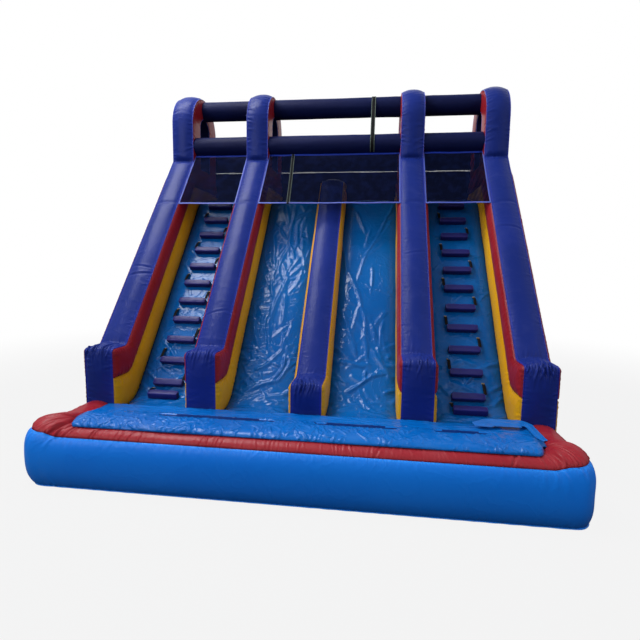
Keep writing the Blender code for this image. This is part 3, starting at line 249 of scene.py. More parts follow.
@dataclass(frozen=True)
class Vinyl(Finish):
    """Coated cloth: its weave, gathers at the seams, hems, stitches, faint creases and dust, and painted shade
    that darkens it towards the ground.
    """

    colour: Colour
    faded: Colour
    hem: Colour
    roughness: float = 0.34
    shine: float = 0.3
    coat: float = 0.0
    crease_scale: float = 3.0
    crease_depth: float = 0.0015
    pleat_depth: float = 0.003
    hem_width: float = 0.026
    hem_share: float = 0.45
    stitch_place: float = 0.016
    stitch_scale: float = 200.0
    stitch_depth: float = 0.001
    hem_rise: float = 0.0006
    weave_scale: float = 190.0
    weave_depth: float = 0.00012
    gather_scale: float = 34.0
    dust: Colour = (0.3, 0.3, 0.3)
    dust_share: float = 0.05
    # Painted shade: near the ground the colour is mixed towards the foot colour, by the share below, up to the
    # height below.
    foot: Colour = (0.0, 0.0, 0.0)
    foot_shade_share: float = 0.0
    foot_shade_height: float = 0.5

    def surface(self, bench: Bench) -> Wire:
        """Return the shader that covers a piece.

        Args:
            bench: The bench of the finish's material.

        Returns:
            The shader's wire.
        """
        place = bench.node("ShaderNodeTexCoord", output="Object")
        seam = bench.attribute("seam")
        along = bench.attribute("along")
        up = bench.part_of(bench.node("ShaderNodeNewGeometry", output="Normal"), "Z")
        broad = bench.noise(place, 0.8, 3.0)
        blotch = bench.noise(place, 5.0, 4.0, 0.4)
        weave = bench.noise(place, self.weave_scale, 1.0)
        crease = bench.noise(place, self.crease_scale, 2.0, 0.8).ridge() ** 12
        gathers = bench.noise(bench.vector(along * self.gather_scale, seam * 5.0), 1.0, 2.0).ridge() ** 3
        near = 1 - seam.smooth(self.hem_width * 0.8, self.hem_width)
        thread = (along * self.stitch_scale).swing().smooth(0.2, 0.5)
        stitch = (1 - abs(seam - self.stitch_place).smooth(0.0012, 0.0035)) * thread
        drawn = gathers * (1 - seam.smooth(0.01, 0.11))
        settled = up.smooth(0.35, 1.0) * blotch.smooth(0.45, 0.8) * self.dust_share
        colour = bench.mixed(self.colour, self.faded, broad.smooth(0.35, 0.7) * 0.6)
        colour = bench.mixed(colour, self.faded, blotch.smooth(0.5, 0.8) * 0.2)
        colour = bench.mixed(colour, self.hem, near * self.hem_share + drawn * 0.15)
        # Painted shade: darker towards the bottom of the piece.
        low = 1 - bench.part_of(place, "Z").smooth(0.0, self.foot_shade_height)
        colour = bench.mixed(colour, self.foot, low * self.foot_shade_share)
        colour = bench.mixed(colour, self.dust, settled)
        rough = self.roughness + (broad - 0.5) * 0.14 + (blotch - 0.5) * 0.06 + settled * 0.8 + stitch * 0.12
        height = (crease * self.crease_depth + drawn * self.pleat_depth + weave * self.weave_depth
                  - stitch * self.stitch_depth + near * self.hem_rise)
        bump = bench.node("ShaderNodeBump", None, {"Strength": 1.0, "Distance": 1.0, "Height": height})
        return bench.node("ShaderNodeBsdfPrincipled", None,
                          {"Base Color": colour, "Roughness": rough, "Normal": bump,
                           "Specular IOR Level": self.shine, "Coat Weight": self.coat, "Coat Roughness": 0.12})


@dataclass(frozen=True)
class Webbing(Finish):
    """Woven webbing with its ribs along one axis."""

    colour: Colour
    worn: Colour
    rib_scale: float = 21.0

    def surface(self, bench: Bench) -> Wire:
        """Return the shader that covers a piece.

        Args:
            bench: The bench of the finish's material.

        Returns:
            The shader's wire.
        """
        place = bench.node("ShaderNodeTexCoord", output="Object")
        rib = bench.node("ShaderNodeTexWave", {"bands_direction": "DIAGONAL"},
                         {"Vector": place, "Scale": self.rib_scale, "Distortion": 0.5}, "Fac")
        worn = bench.noise(place, 24.0, 3.0).smooth(0.5, 0.8)
        colour = bench.mixed(self.colour, self.worn, worn * 0.5 + rib * 0.15)
        bump = bench.node("ShaderNodeBump", None, {"Strength": 0.5, "Distance": 0.001, "Height": rib})
        return bench.node("ShaderNodeBsdfPrincipled", None,
                          {"Base Color": colour, "Roughness": 0.82 + worn * 0.1, "Normal": bump,
                           "Specular IOR Level": 0.2})


@dataclass(frozen=True)
class Zinc(Finish):
    """Zinc-plated steel, a little dull."""

    colour: Colour
    bloomed: Colour

    def surface(self, bench: Bench) -> Wire:
        """Return the shader that covers a piece.

        Args:
            bench: The bench of the finish's material.

        Returns:
            The shader's wire.
        """
        bloom = bench.noise(bench.node("ShaderNodeTexCoord", output="Object"), 90.0, 3.0)
        colour = bench.mixed(self.colour, self.bloomed, bloom.smooth(0.4, 0.7))
        return bench.node("ShaderNodeBsdfPrincipled", None,
                          {"Base Color": colour, "Roughness": 0.24 + bloom * 0.25, "Metallic": 1.0})


@dataclass(frozen=True)
class Netting(Finish):
    """Knotless net: fine dark cords with open squares between them."""

    colour: Colour
    worn: Colour
    pitch: float = 0.022
    cord_share: float = 0.52

    def surface(self, bench: Bench) -> Wire:
        """Return the shader that covers a piece.

        Args:
            bench: The bench of the finish's material.

        Returns:
            The shader's wire.
        """
        cells = bench.node("ShaderNodeVectorMath", {"operation": "SCALE"},
                           {0: bench.node("ShaderNodeUVMap"), "Scale": 1 / self.pitch})
        edge = 0.5 - self.cord_share / 2
        places = [bench.node("ShaderNodeMath", {"operation": "FRACT"}, {0: bench.part_of(cells, axis)})
                  for axis in ("X", "Y")]
        cords = [abs(place - 0.5).smooth(edge - 0.03, edge) for place in places]
        both = bench.node("ShaderNodeMath", {"operation": "MAXIMUM"}, {0: cords[0], 1: cords[1]})
        tint = bench.noise(bench.node("ShaderNodeTexCoord", output="Object"), 8.0, 2.0)
        colour = bench.mixed(self.colour, self.worn, tint.smooth(0.4, 0.7))
        return bench.node("ShaderNodeBsdfPrincipled", None,
                          {"Base Color": colour, "Roughness": 0.9, "Specular IOR Level": 0.03, "Alpha": both})


NAVY = Vinyl("navy_coated_cloth", *shades("182A74 1E3084 24339C"), shine=0.1)
# Deep navy: the beams' own colour, also used as painted shade on the rear wall's front face and in the crawl
# holes.
DEEP_NAVY = Vinyl("deep_navy_coated_cloth", *shades("060F3C 0C1848 101C50"), roughness=0.6, shine=0.12,
                  hem_share=0.4)
POOL_HEM = Vinyl("pool_hem_cloth", *shades("1478DC 2A8CE8 2A8CE8"))
FLAP = Vinyl("blue_flap_cloth", *shades("1266BA 1E76C8 2A86D4"))
PIPING = Vinyl("royal_blue_piping", *shades("1A2884 24349A 2B3CA6"))
# Painted highlight: a paler copy of the piping, used on the arch where light catches the gathered edges.
ARCH_HIGHLIGHT_PIPING = Vinyl("painted_highlight_piping", *shades("4450B0 5E6ABC 6A75C0"))
RED = Vinyl("red_coated_cloth", *shades("961C26 A62C34 7A1420"), roughness=0.36, shine=0.2)
YELLOW = Vinyl("yellow_coated_cloth", *shades("E0A20E ECB41C D0961A"), roughness=0.4, shine=0.2)
LINER = Vinyl("glossy_blue_liner", *shades("0056A2 046AB6 064A90"), roughness=0.14, shine=0.2, coat=0.08,
              crease_scale=4.0, crease_depth=0.003, hem_share=0.3)
MAT = Vinyl("blue_mattress_cloth", *shades("0060B4 0A70C4 1A7CD0"), roughness=0.2, shine=0.2, coat=0.04,
            crease_scale=6.0, crease_depth=0.002)
# The pool cloth's foot colour is painted shade, darker towards the ground.
POOL = Vinyl("pool_blue_cloth", *shades("087AE8 0E84F0 208EF4"), roughness=0.36, shine=0.25,
             foot=from_hex("013E86"), foot_shade_share=0.55)
# Painted shade: the dark colour of the faces inside the mattress's slits.
SLIT_SHADE = Vinyl("painted_slit_shade", *shades("082A66 0A3070 0A3070"), roughness=0.7, shine=0.05)
INDIGO = Vinyl("indigo_step_cloth", *shades("16155C 1F1E6C 28287C"), roughness=0.42)
NET_HEM = Vinyl("light_blue_hem", *shades("4A5AB4 6A75C0 6A75C0"), roughness=0.5)
NET_BAND = Vinyl("royal_blue_net_band", *shades("14309E 1E3CAA 1E3CAA"), roughness=0.5)
NET = Netting("fine_dark_net", *shades("050A20 0A1230"))
STRAP = Webbing("black_webbing_weave", *shades("08080A 18181A"))
STRAP_END = Webbing("tan_webbing_end", *shades("8C8064 B8AE94"))
STRAP_EDGE = Webbing("grey_green_edge_binding", *shades("5C6860 8A968C"))
STEEL = Zinc("zinc_plate", *shades("B4B6B8 A2A4A8"))


def hashed(cells: Array, seed: int) -> Array:
    """Return a steady random value from -1 to 1 for each whole-numbered cell.

    Args:
        cells: Whole numbers, one row of three for each cell.
        seed: A number that picks another field.

    Returns:
        One value for each row.
    """
    keys = np.array([374761393, 668265263, 2147483629], dtype=np.uint64)
    mask = np.uint64(0xFFFFFFFF)
    total = ((cells.astype(np.int64).astype(np.uint64) * keys) & mask).sum(axis=-1) + np.uint64(seed * 97531)
    total = ((total ^ (total >> np.uint64(13))) * np.uint64(1274126177)) & mask
    total = ((total ^ (total >> np.uint64(16))) * np.uint64(2246822519)) & mask
    return (total >> np.uint64(8)).astype(np.float64) / float(1 << 23) - 1.0


def noise(places: Array, seed: int) -> Array:
    """Return smooth noise from about -1 to 1 at rows of up to three coordinates.

    Args:
        places: One row for each place.
        seed: A number that picks another field.

    Returns:
        One value for each row.
    """
    full = np.zeros((len(places), 3))
    full[:, :places.shape[1]] = places
    base = np.floor(full)
    part = full - base
    part = part * part * (3 - 2 * part)
    total = np.zeros(len(full))
    for corner in np.ndindex(2, 2, 2):
        step = np.array(corner)
        weight = np.prod(np.where(step == 1, part, 1 - part), axis=1)
        total += weight * hashed(base + step, seed)
    return total


def noise_over(seed: int, *grids: Array) -> Array:
    """Return smooth noise at each place of a grid, whose coordinates come as one grid each."""
    return noise(np.stack([grid.ravel() for grid in grids], axis=1), seed).reshape(grids[0].shape)


def ripple(along: Array, pitch: float, seed: int) -> Array:
    """Return an uneven row of gathers, -1 to 1, at places along a seam."""
    steady = np.sin(2 * math.pi * along / pitch + 2.2 * noise(along[:, None] / (pitch * 2.7), seed))
    return steady * (0.55 + 0.45 * noise(along[:, None] / (pitch * 1.7), seed + 1))


def rounded_path(corners: Sequence[tuple[float, float, float]]) -> Array:
    """Round the inner corners of an open path.

    Args:
        corners: Each corner's place and radius.

    Returns:
        The points of the path, with a point every few degrees of each arc.
    """
    arc_step = math.radians(6)
    points: list[Array] = []
    for index, (first, second, radius) in enumerate(corners):
        corner = np.array((first, second))
        if radius == 0 or index in (0, len(corners) - 1):
            points.append(corner)
            continue
        before = np.array(corners[index - 1][:2]) - corner
        after = np.array(corners[index + 1][:2]) - corner
        before /= np.linalg.norm(before)
        after /= np.linalg.norm(after)
        turn = math.pi - math.acos(float(np.clip(before @ after, -1, 1)))
        middle = (before + after) / np.linalg.norm(before + after)
        centre = corner + middle * radius / math.cos(turn / 2)
        start = corner + before * radius * math.tan(turn / 2) - centre
        way = math.copysign(1.0, before[1] * after[0] - before[0] * after[1])
        steps = max(2, round(turn / arc_step))
        for step in range(steps + 1):
            spin = way * turn * step / steps
            points.append(centre + np.array((start[0] * math.cos(spin) - start[1] * math.sin(spin),
                                             start[0] * math.sin(spin) + start[1] * math.cos(spin))))
    return np.array(points)


def lengths_along(path: Array) -> Array:
    """Return how far along the path each of its points lies."""
    return np.concatenate(([0.0], np.cumsum(np.linalg.norm(np.diff(path, axis=0), axis=1))))


def resampled(path: Array, spacing: float) -> Array:
    """Return the path with points at an even spacing.

    Args:
        path: The path's points.
        spacing: The wanted spacing.

    Returns:
        The new points.
    """
    run = lengths_along(path)
    count = max(2, round(run[-1] / spacing) + 1)
    places = np.linspace(0.0, run[-1], count)
    return np.stack([np.interp(places, run, path[:, axis]) for axis in range(path.shape[1])], axis=1)


def height_at(line: Array, points: Array) -> Array:
    """Return the height of a (y, z) line, which runs from front to back, at each point's y."""
    return np.interp(points[:, 0], line[:, 0], line[:, 1])


def left_normals(path: Array) -> Array:
    """Return the unit direction to the left of the path at each of its points.

    Args:
        path: The path's (y, z) points.

    Returns:
        One unit direction for each point.
    """
    along = np.gradient(path, axis=0)
    along /= np.linalg.norm(along, axis=1)[:, None] + 1e-12
    return np.stack((-along[:, 1], along[:, 0]), axis=1)


def nearest(points: Array, path: Array) -> tuple[Array, Array]:
    """Find the nearest place on a path.

    Args:
        points: The (y, z) points to test.
        path: The path's points.

    Returns:
        Each point's distance to the path, and how far along the path its nearest place is.
    """
    starts, steps = path[:-1], np.diff(path, axis=0)
    squares = np.maximum((steps ** 2).sum(axis=1), 1e-12)
    run = lengths_along(path)
    distances, places = [], []
    for chunk in np.array_split(points, max(1, len(points) // 1500)):
        gap = chunk[:, None, :] - starts[None]
        share = np.clip((gap * steps).sum(axis=2) / squares, 0, 1)
        away = np.linalg.norm(gap - share[..., None] * steps, axis=2)
        least = away.argmin(axis=1)
        rows = np.arange(len(chunk))
        distances.append(away[rows, least])
        places.append(run[least] + share[rows, least] * np.sqrt(squares[least]))
    return np.concatenate(distances), np.concatenate(places)


def within(points: Array, loop: Array) -> Array:
    """Tell which points lie inside a closed loop.

    Args:
        points: The (y, z) points to test.
        loop: The loop's points.

    Returns:
        True for each point inside.
    """
    crossings = np.zeros(len(points), dtype=int)
    for first, second in zip(loop, np.roll(loop, -1, axis=0)):
        if first[1] == second[1]:
            continue
        spans = (first[1] > points[:, 1]) != (second[1] > points[:, 1])
        share = (points[:, 1] - first[1]) / (second[1] - first[1])
        crossings += spans & (points[:, 0] < first[0] + share * (second[0] - first[0]))
    return crossings % 2 == 1


def eased(value: Array, low: float, high: float) -> Array:
    """Return a soft step that rises from 0 at low to 1 at high."""
    share = np.clip((value - low) / (high - low), 0, 1)
    return share * share * (3 - 2 * share)


@dataclass(frozen=True)
class PleatRow:
    """A row of uneven tucks along a seam, each a narrow ridge between two shallow troughs."""

    seed: int
    pitch: float = 0.07
    width: float = 0.013
    depth: float = 0.008
    reach: float = 0.09
    slant: float = 0.45

    def height(self, along: Array, gap: Array) -> Array:
        """Return the tucks' height at places along the seam and away from it.

        Args:
            along: Metres along the seam.
            gap: Metres away from the seam.

        Returns:
            The height at each place.
        """
        cell = np.floor(along / self.pitch)
        total = np.zeros(np.broadcast(along, gap).shape)
        for step in (-1, 0, 1):
            keys = np.stack([cell + step, np.zeros_like(cell), np.zeros_like(cell)], axis=-1)
            middle = (cell + step + 0.5 + 0.38 * hashed(keys, self.seed)) * self.pitch
            strength = np.clip(0.55 + 0.75 * hashed(keys, self.seed + 1), 0.0, 1.3)
            lean = self.slant * hashed(keys, self.seed + 2)
            reach = self.reach * (1 + 0.5 * hashed(keys, self.seed + 3))
            away = (along - middle - lean * gap) / (self.width * (1 + gap / self.reach))
            total = total + strength * (1 - away ** 2) * np.exp(-away ** 2 / 2 - gap / reach)
        return self.depth * total


@dataclass(frozen=True)
class FoldKind:
    """One kind of fold: its least and most length, height and half width, and how it wanders and branches.

    The bend is how far its direction wanders at each step, the turn is its least and most first direction
    away from straight along, and the spread is how far its side folds turn away from it, all in radians.
    Without a number of branches, each fold draws 0, 1 or 2.
    """

    length: tuple[float, float]
    height: tuple[float, float]
    width: tuple[float, float]
    bend: float
    turn: tuple[float, float] = (0.0, 0.0)
    branches: int | None = None
    spread: float = 0.6


class FoldField:
    """Folds of loose cloth over a stretch of it, raised on a grid of places across and along."""

    def __init__(self, across: Array, along: Array, seed: int) -> None:
        """Start with flat cloth on evenly growing places across and along.

        Args:
            across: The grid's places across.
            along: The grid's places along.
            seed: The seed of its random draws.
        """
        self.across = across
        self.along = along
        self.draw = np.random.default_rng(seed)
        self.height = np.zeros((len(along), len(across)))

    def path(self, start: Array, heading: float, length: float, bend: float) -> Array:
        """Return a wandering line.

        Args:
            start: Where it starts, across and along.
            heading: Its first direction, in radians from straight along.
            length: Its length.
            bend: How far its direction wanders at each step, in radians.

        Returns:
            The line's points.
        """
        count = max(4, round(length / 0.06))
        turns = heading + np.cumsum(self.draw.normal(0.0, bend, count))
        turns += (heading - turns) * 0.4
        steps = np.stack([np.sin(turns), np.cos(turns)], axis=1) * length / count
        return np.vstack([start, start + np.cumsum(steps, axis=0)])

    def raise_fold(self, path: Array, height: float, width: float) -> None:
        """Raise one fold, with a shallow trough on both sides, along a line.

        Args:
            path: The line, across and along.
            height: The fold's height.
            width: Its half width.
        """
        reach = 3.4 * width
        low, high = path.min(axis=0) - reach, path.max(axis=0) + reach
        columns = slice(*np.searchsorted(self.across, (low[0], high[0])).tolist())
        rows = slice(*np.searchsorted(self.along, (low[1], high[1])).tolist())
        spots = np.stack(np.meshgrid(self.across[columns], self.along[rows]), axis=-1)
        if spots.size == 0:
            return
        gap, place = nearest(spots.reshape(-1, 2), path)
        share = (place / lengths_along(path)[-1]).reshape(spots.shape[:2])
        gap = gap.reshape(spots.shape[:2]) / width
        taper = height * np.minimum(6 * share * (1 - share), 1.0) ** 0.8
        window = self.height[rows, columns]
        trough = 0.3 * taper * np.exp(-(gap - 2.0) ** 2)
        window[:] = np.maximum(window - trough, taper * np.exp(-gap ** 2))

    def strewn(self, kind: FoldKind, start: Array) -> None:
        """Raise a fold of a kind that turns to a drawn side, with its side folds."""
        side = self.draw.choice((-1, 1))
        self.branching(kind, start, side * self.draw.uniform(*kind.turn))

    def branching(self, kind: FoldKind, start: Array, heading: float) -> None:
        """Raise a fold of a kind, of drawn size, with lower side folds.

        Args:
            kind: The kind of fold.
            start: Where it starts, across and along.
            heading: Its first direction, in radians from straight along.
        """
        draw = self.draw
        length, height, width = (draw.uniform(*sizes) for sizes in (kind.length, kind.height, kind.width))
        branches = int(draw.integers(0, 3)) if kind.branches is None else kind.branches
        trunk = self.path(start, heading, length, kind.bend)
        self.raise_fold(trunk, height, width)
        for _ in range(branches):
            place = trunk[int(draw.integers(1, len(trunk) - 1))]
            turn = heading + kind.spread * draw.choice((-1, 1)) * draw.uniform(0.6, 1.3)
            twig = self.path(place, turn, length * draw.uniform(0.25, 0.55), kind.bend * 1.4)
            self.raise_fold(twig, height * draw.uniform(0.5, 0.85), width * 0.85)


class Skin:
    """Gathers grids and triangles into one piece's mesh, with each point's distance to its nearest seam."""

    def __init__(self) -> None:
        """Start empty."""
        self.points: list[Array] = []
        self.seams: list[Array] = []
        self.uvs: list[Array] = []
        self.places: list[Array] = []
        self.faces: list[tuple[int, ...]] = []
        self.slots: list[int] = []
        self.count = 0

    def _add_points(self, points: Array, seam: Array | None, uv: Array | None = None,
                    along: Array | None = None) -> int:
        """Store points and return the number of the first.

        Args:
            points: The points.
            seam: Each point's distance to its nearest seam.
            uv: Each point's flat place.
            along: Each point's place along its nearest seam.

        Returns:
            The number of the first point.
        """
        first = self.count
        self.points.append(points)
        self.seams.append(np.full(len(points), 1.0) if seam is None else seam)
        self.uvs.append(np.zeros((len(points), 2)) if uv is None else uv)
        self.places.append(np.zeros(len(points)) if along is None else along)
        self.count += len(points)
        return first

    def grid(self, points: Array, slot: int = 0, seam: Array | None = None, close_rows: bool = False,
             close_columns: bool = False, uv: Array | None = None, along: Array | None = None) -> None:
        """Add a grid of quads.

        Args:
            points: Rows by columns by three coordinates.
            slot: The material number.
            seam: Each point's distance to its nearest seam, rows by columns.
            close_rows: Whether the last row joins the first.
            close_columns: Whether the last column joins the first.
            uv: Each point's flat place, rows by columns by two.
            along: Each point's place along its nearest seam, rows by columns.
        """
        rows, columns = points.shape[:2]
        first = self._add_points(points.reshape(-1, 3), None if seam is None else seam.reshape(-1),
                                 None if uv is None else uv.reshape(-1, 2),
                                 None if along is None else along.reshape(-1))
        numbers = first + np.arange(rows * columns).reshape(rows, columns)
        if close_rows:
            numbers = np.vstack([numbers, numbers[:1]])
        if close_columns:
            numbers = np.hstack([numbers, numbers[:, :1]])
        quads = np.stack([numbers[:-1, :-1], numbers[:-1, 1:], numbers[1:, 1:], numbers[1:, :-1]], axis=-1)
        quads = quads.reshape(-1, 4)
        self.faces.extend(map(tuple, quads.tolist()))
        self.slots.extend([slot] * len(quads))

    def triangles(self, points: Array, triangles: Array, slots: Array, seam: Array, along: Array) -> None:
        """Add triangles with a material number each.

        Args:
            points: The points.
            triangles: Rows of three of the points' numbers.
            slots: Each triangle's material number.
            seam: Each point's distance to its nearest seam.
            along: Each point's place along its nearest seam.
        """
        first = self._add_points(points, seam, along=along)
        self.faces.extend(map(tuple, (triangles + first).tolist()))
        self.slots.extend(slots.tolist())

    def cap(self, loop: Array, slot: int = 0, rings: int = 1, dome: Array | None = None) -> None:
        """Close a loop with a fan towards its middle.

        Args:
            loop: The loop's points.
            slot: The material number.
            rings: How many rings the fan has.
            dome: How far the middle stands out, as a vector.
        """
        middle = loop.mean(axis=0) + (0 if dome is None else dome)
        shares = np.linspace(0.0, 1.0, rings + 1)[:-1]
        rows = [loop + (middle - loop) * share for share in shares]
        if dome is not None:
            lifts = [np.sin(share * math.pi / 2) - share for share in shares]
            rows = [row + dome * lift for row, lift in zip(rows, lifts)]
        grid = np.array(rows)
        if rings > 1:
            self.grid(grid, slot, close_columns=True)
        first = self._add_points(np.vstack([grid[-1], middle[None]]), None)
        size = len(loop)
        for index in range(size):
            self.faces.append((first + index, first + (index + 1) % size, first + size))
            self.slots.append(slot)

    def tube(self, points: Array, slot: int = 0, seam: Array | None = None, along: Array | None = None) -> None:
        """Add a closed tube and its two ends.

        Args:
            points: Stations by places round the section by three coordinates.
            slot: The material number.
            seam: Each point's distance to its nearest seam.
            along: Each point's place along its nearest seam.
        """
        self.grid(points, slot, seam, close_columns=True, along=along)
        self.cap(points[0], slot)
        self.cap(points[-1], slot)

    def build(self, name: str, finishes: Sequence[Finish], at_x: float = 0.0) -> bpy.types.Object:
        """Weld the points and make the object.

        Args:
            name: The piece's name.
            finishes: The finishes by material number.
            at_x: Where the piece's own zero lies along X.

        Returns:
            The finished object, at its place in the frame.
        """
        mesh = bpy.data.meshes.new(name)
        points = np.vstack(self.points) + np.array((at_x, FRONT_Y, 0.0))
        mesh.from_pydata(points.tolist(), [], self.faces)
        mesh.polygons.foreach_set("material_index", self.slots)
        for label, values in (("seam", self.seams), ("along", self.places)):
            stored = mesh.attributes.new(label, "FLOAT", "POINT")
            stored.data.foreach_set("value", np.concatenate(values).astype(np.float32))
        flat = mesh.uv_layers.new(name="flat")
        corners = np.zeros(len(mesh.loops), dtype=np.int32)
        mesh.loops.foreach_get("vertex_index", corners)
        flat.uv.foreach_set("vector", np.vstack(self.uvs)[corners].astype(np.float32).ravel())
        for finish in finishes:
            mesh.materials.append(finish.material())
        shaped = bmesh.new()
        shaped.from_mesh(mesh)
        bmesh.ops.remove_doubles(shaped, verts=shaped.verts, dist=WELD)
        bmesh.ops.recalc_face_normals(shaped, faces=shaped.faces)
        shaped.to_mesh(mesh)
        shaped.free()
        mesh.shade_smooth()
        made = bpy.data.objects.new(name, mesh)
        bpy.context.scene.collection.objects.link(made)
        return made


def middle_x(name: str) -> float:
    """Return the middle of a node along X."""
    low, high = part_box(name)
    return (low.x + high.x) / 2


def place_piece(piece: bpy.types.Object, slot: Slot, *nodes: str, body: str = BODY) -> bpy.types.Object:
    """Hang a piece on its body, hide the nodes it stands for and log its point count.

    Args:
        piece: The piece.
        slot: Its material slot; not used.
        nodes: The nodes it stands for.
        body: The body it rides on.

    Returns:
        The same piece.
    """
    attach(piece, body)
    if nodes:
        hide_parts(*nodes)
    LOG.info("%s: %d points", piece.name, len(piece.data.vertices))
    return piece


@dataclass(frozen=True)
class Profile:
    """The slide's side view, in metres from the pillars' front faces and the ground."""

    pillar_top: float = 1.47
    pillar_radius: float = 0.055
    ledge_radius: float = 0.12
    slope_angle: float = math.radians(51.2)
    crease_height: float = 4.73
    arch_front: float = 2.99
    arch_radius: float = 0.63
    arch_top: float = 6.09
    hole_radius: float = 0.25
    hole_bottom: float = 4.66
    seam_depth: float = 0.31
    seam_low: float = 1.05
    seam_high: float = 4.25
    seam_fillet: float = 0.25
    bed_depth: float = 0.6
    bed_side_drop: float = 0.08
    platform_height: float = 4.0
    landing_height: float = 0.65
    foot_fillet: float = 0.45
    lip_fillet: float = 0.15
    bulge_start: float = 0.74
    bulge_full: float = 1.15
    hem_height: float = 3.8

    @property
    def back(self) -> float:
        """Return the y of the walls' rear faces."""
        return self.arch_front + 2 * self.arch_radius

    def slope_y(self, height: float, depth: float) -> float:
        """Return the y where a line at a depth below the slope reaches a height.

        Args:
            height: The height to reach.
            depth: The depth below the slope, square to it.

        Returns:
            The y.
        """
        run = self.arch_front + depth * math.sin(self.slope_angle)
        rise = self.crease_height - depth * math.cos(self.slope_angle)
        return run - (rise - height) / math.tan(self.slope_angle)

    def lane_line(self, depth: float, low: float, high: float, low_radius: float, high_radius: float) -> Array:
        """Return a line that runs level, up beside the slope, and level again."""
        return rounded_path([(0.0, low, 0), (self.slope_y(low, depth), low, low_radius),
                             (self.slope_y(high, depth), high, high_radius), (self.back, high, 0)])

    def bed_line(self, drop: float = 0.0) -> Array:
        """Return the line of a lane bed's surface, lowered by the drop."""
        return self.lane_line(self.bed_depth + drop, self.landing_height - drop, self.platform_height - drop,
                              self.foot_fillet, self.lip_fillet)

    def seam_line(self) -> Array:
        """Return the seam between the red and the yellow band."""
        return self.lane_line(self.seam_depth, self.seam_low, self.seam_high, self.seam_fillet,
                              self.seam_fillet)


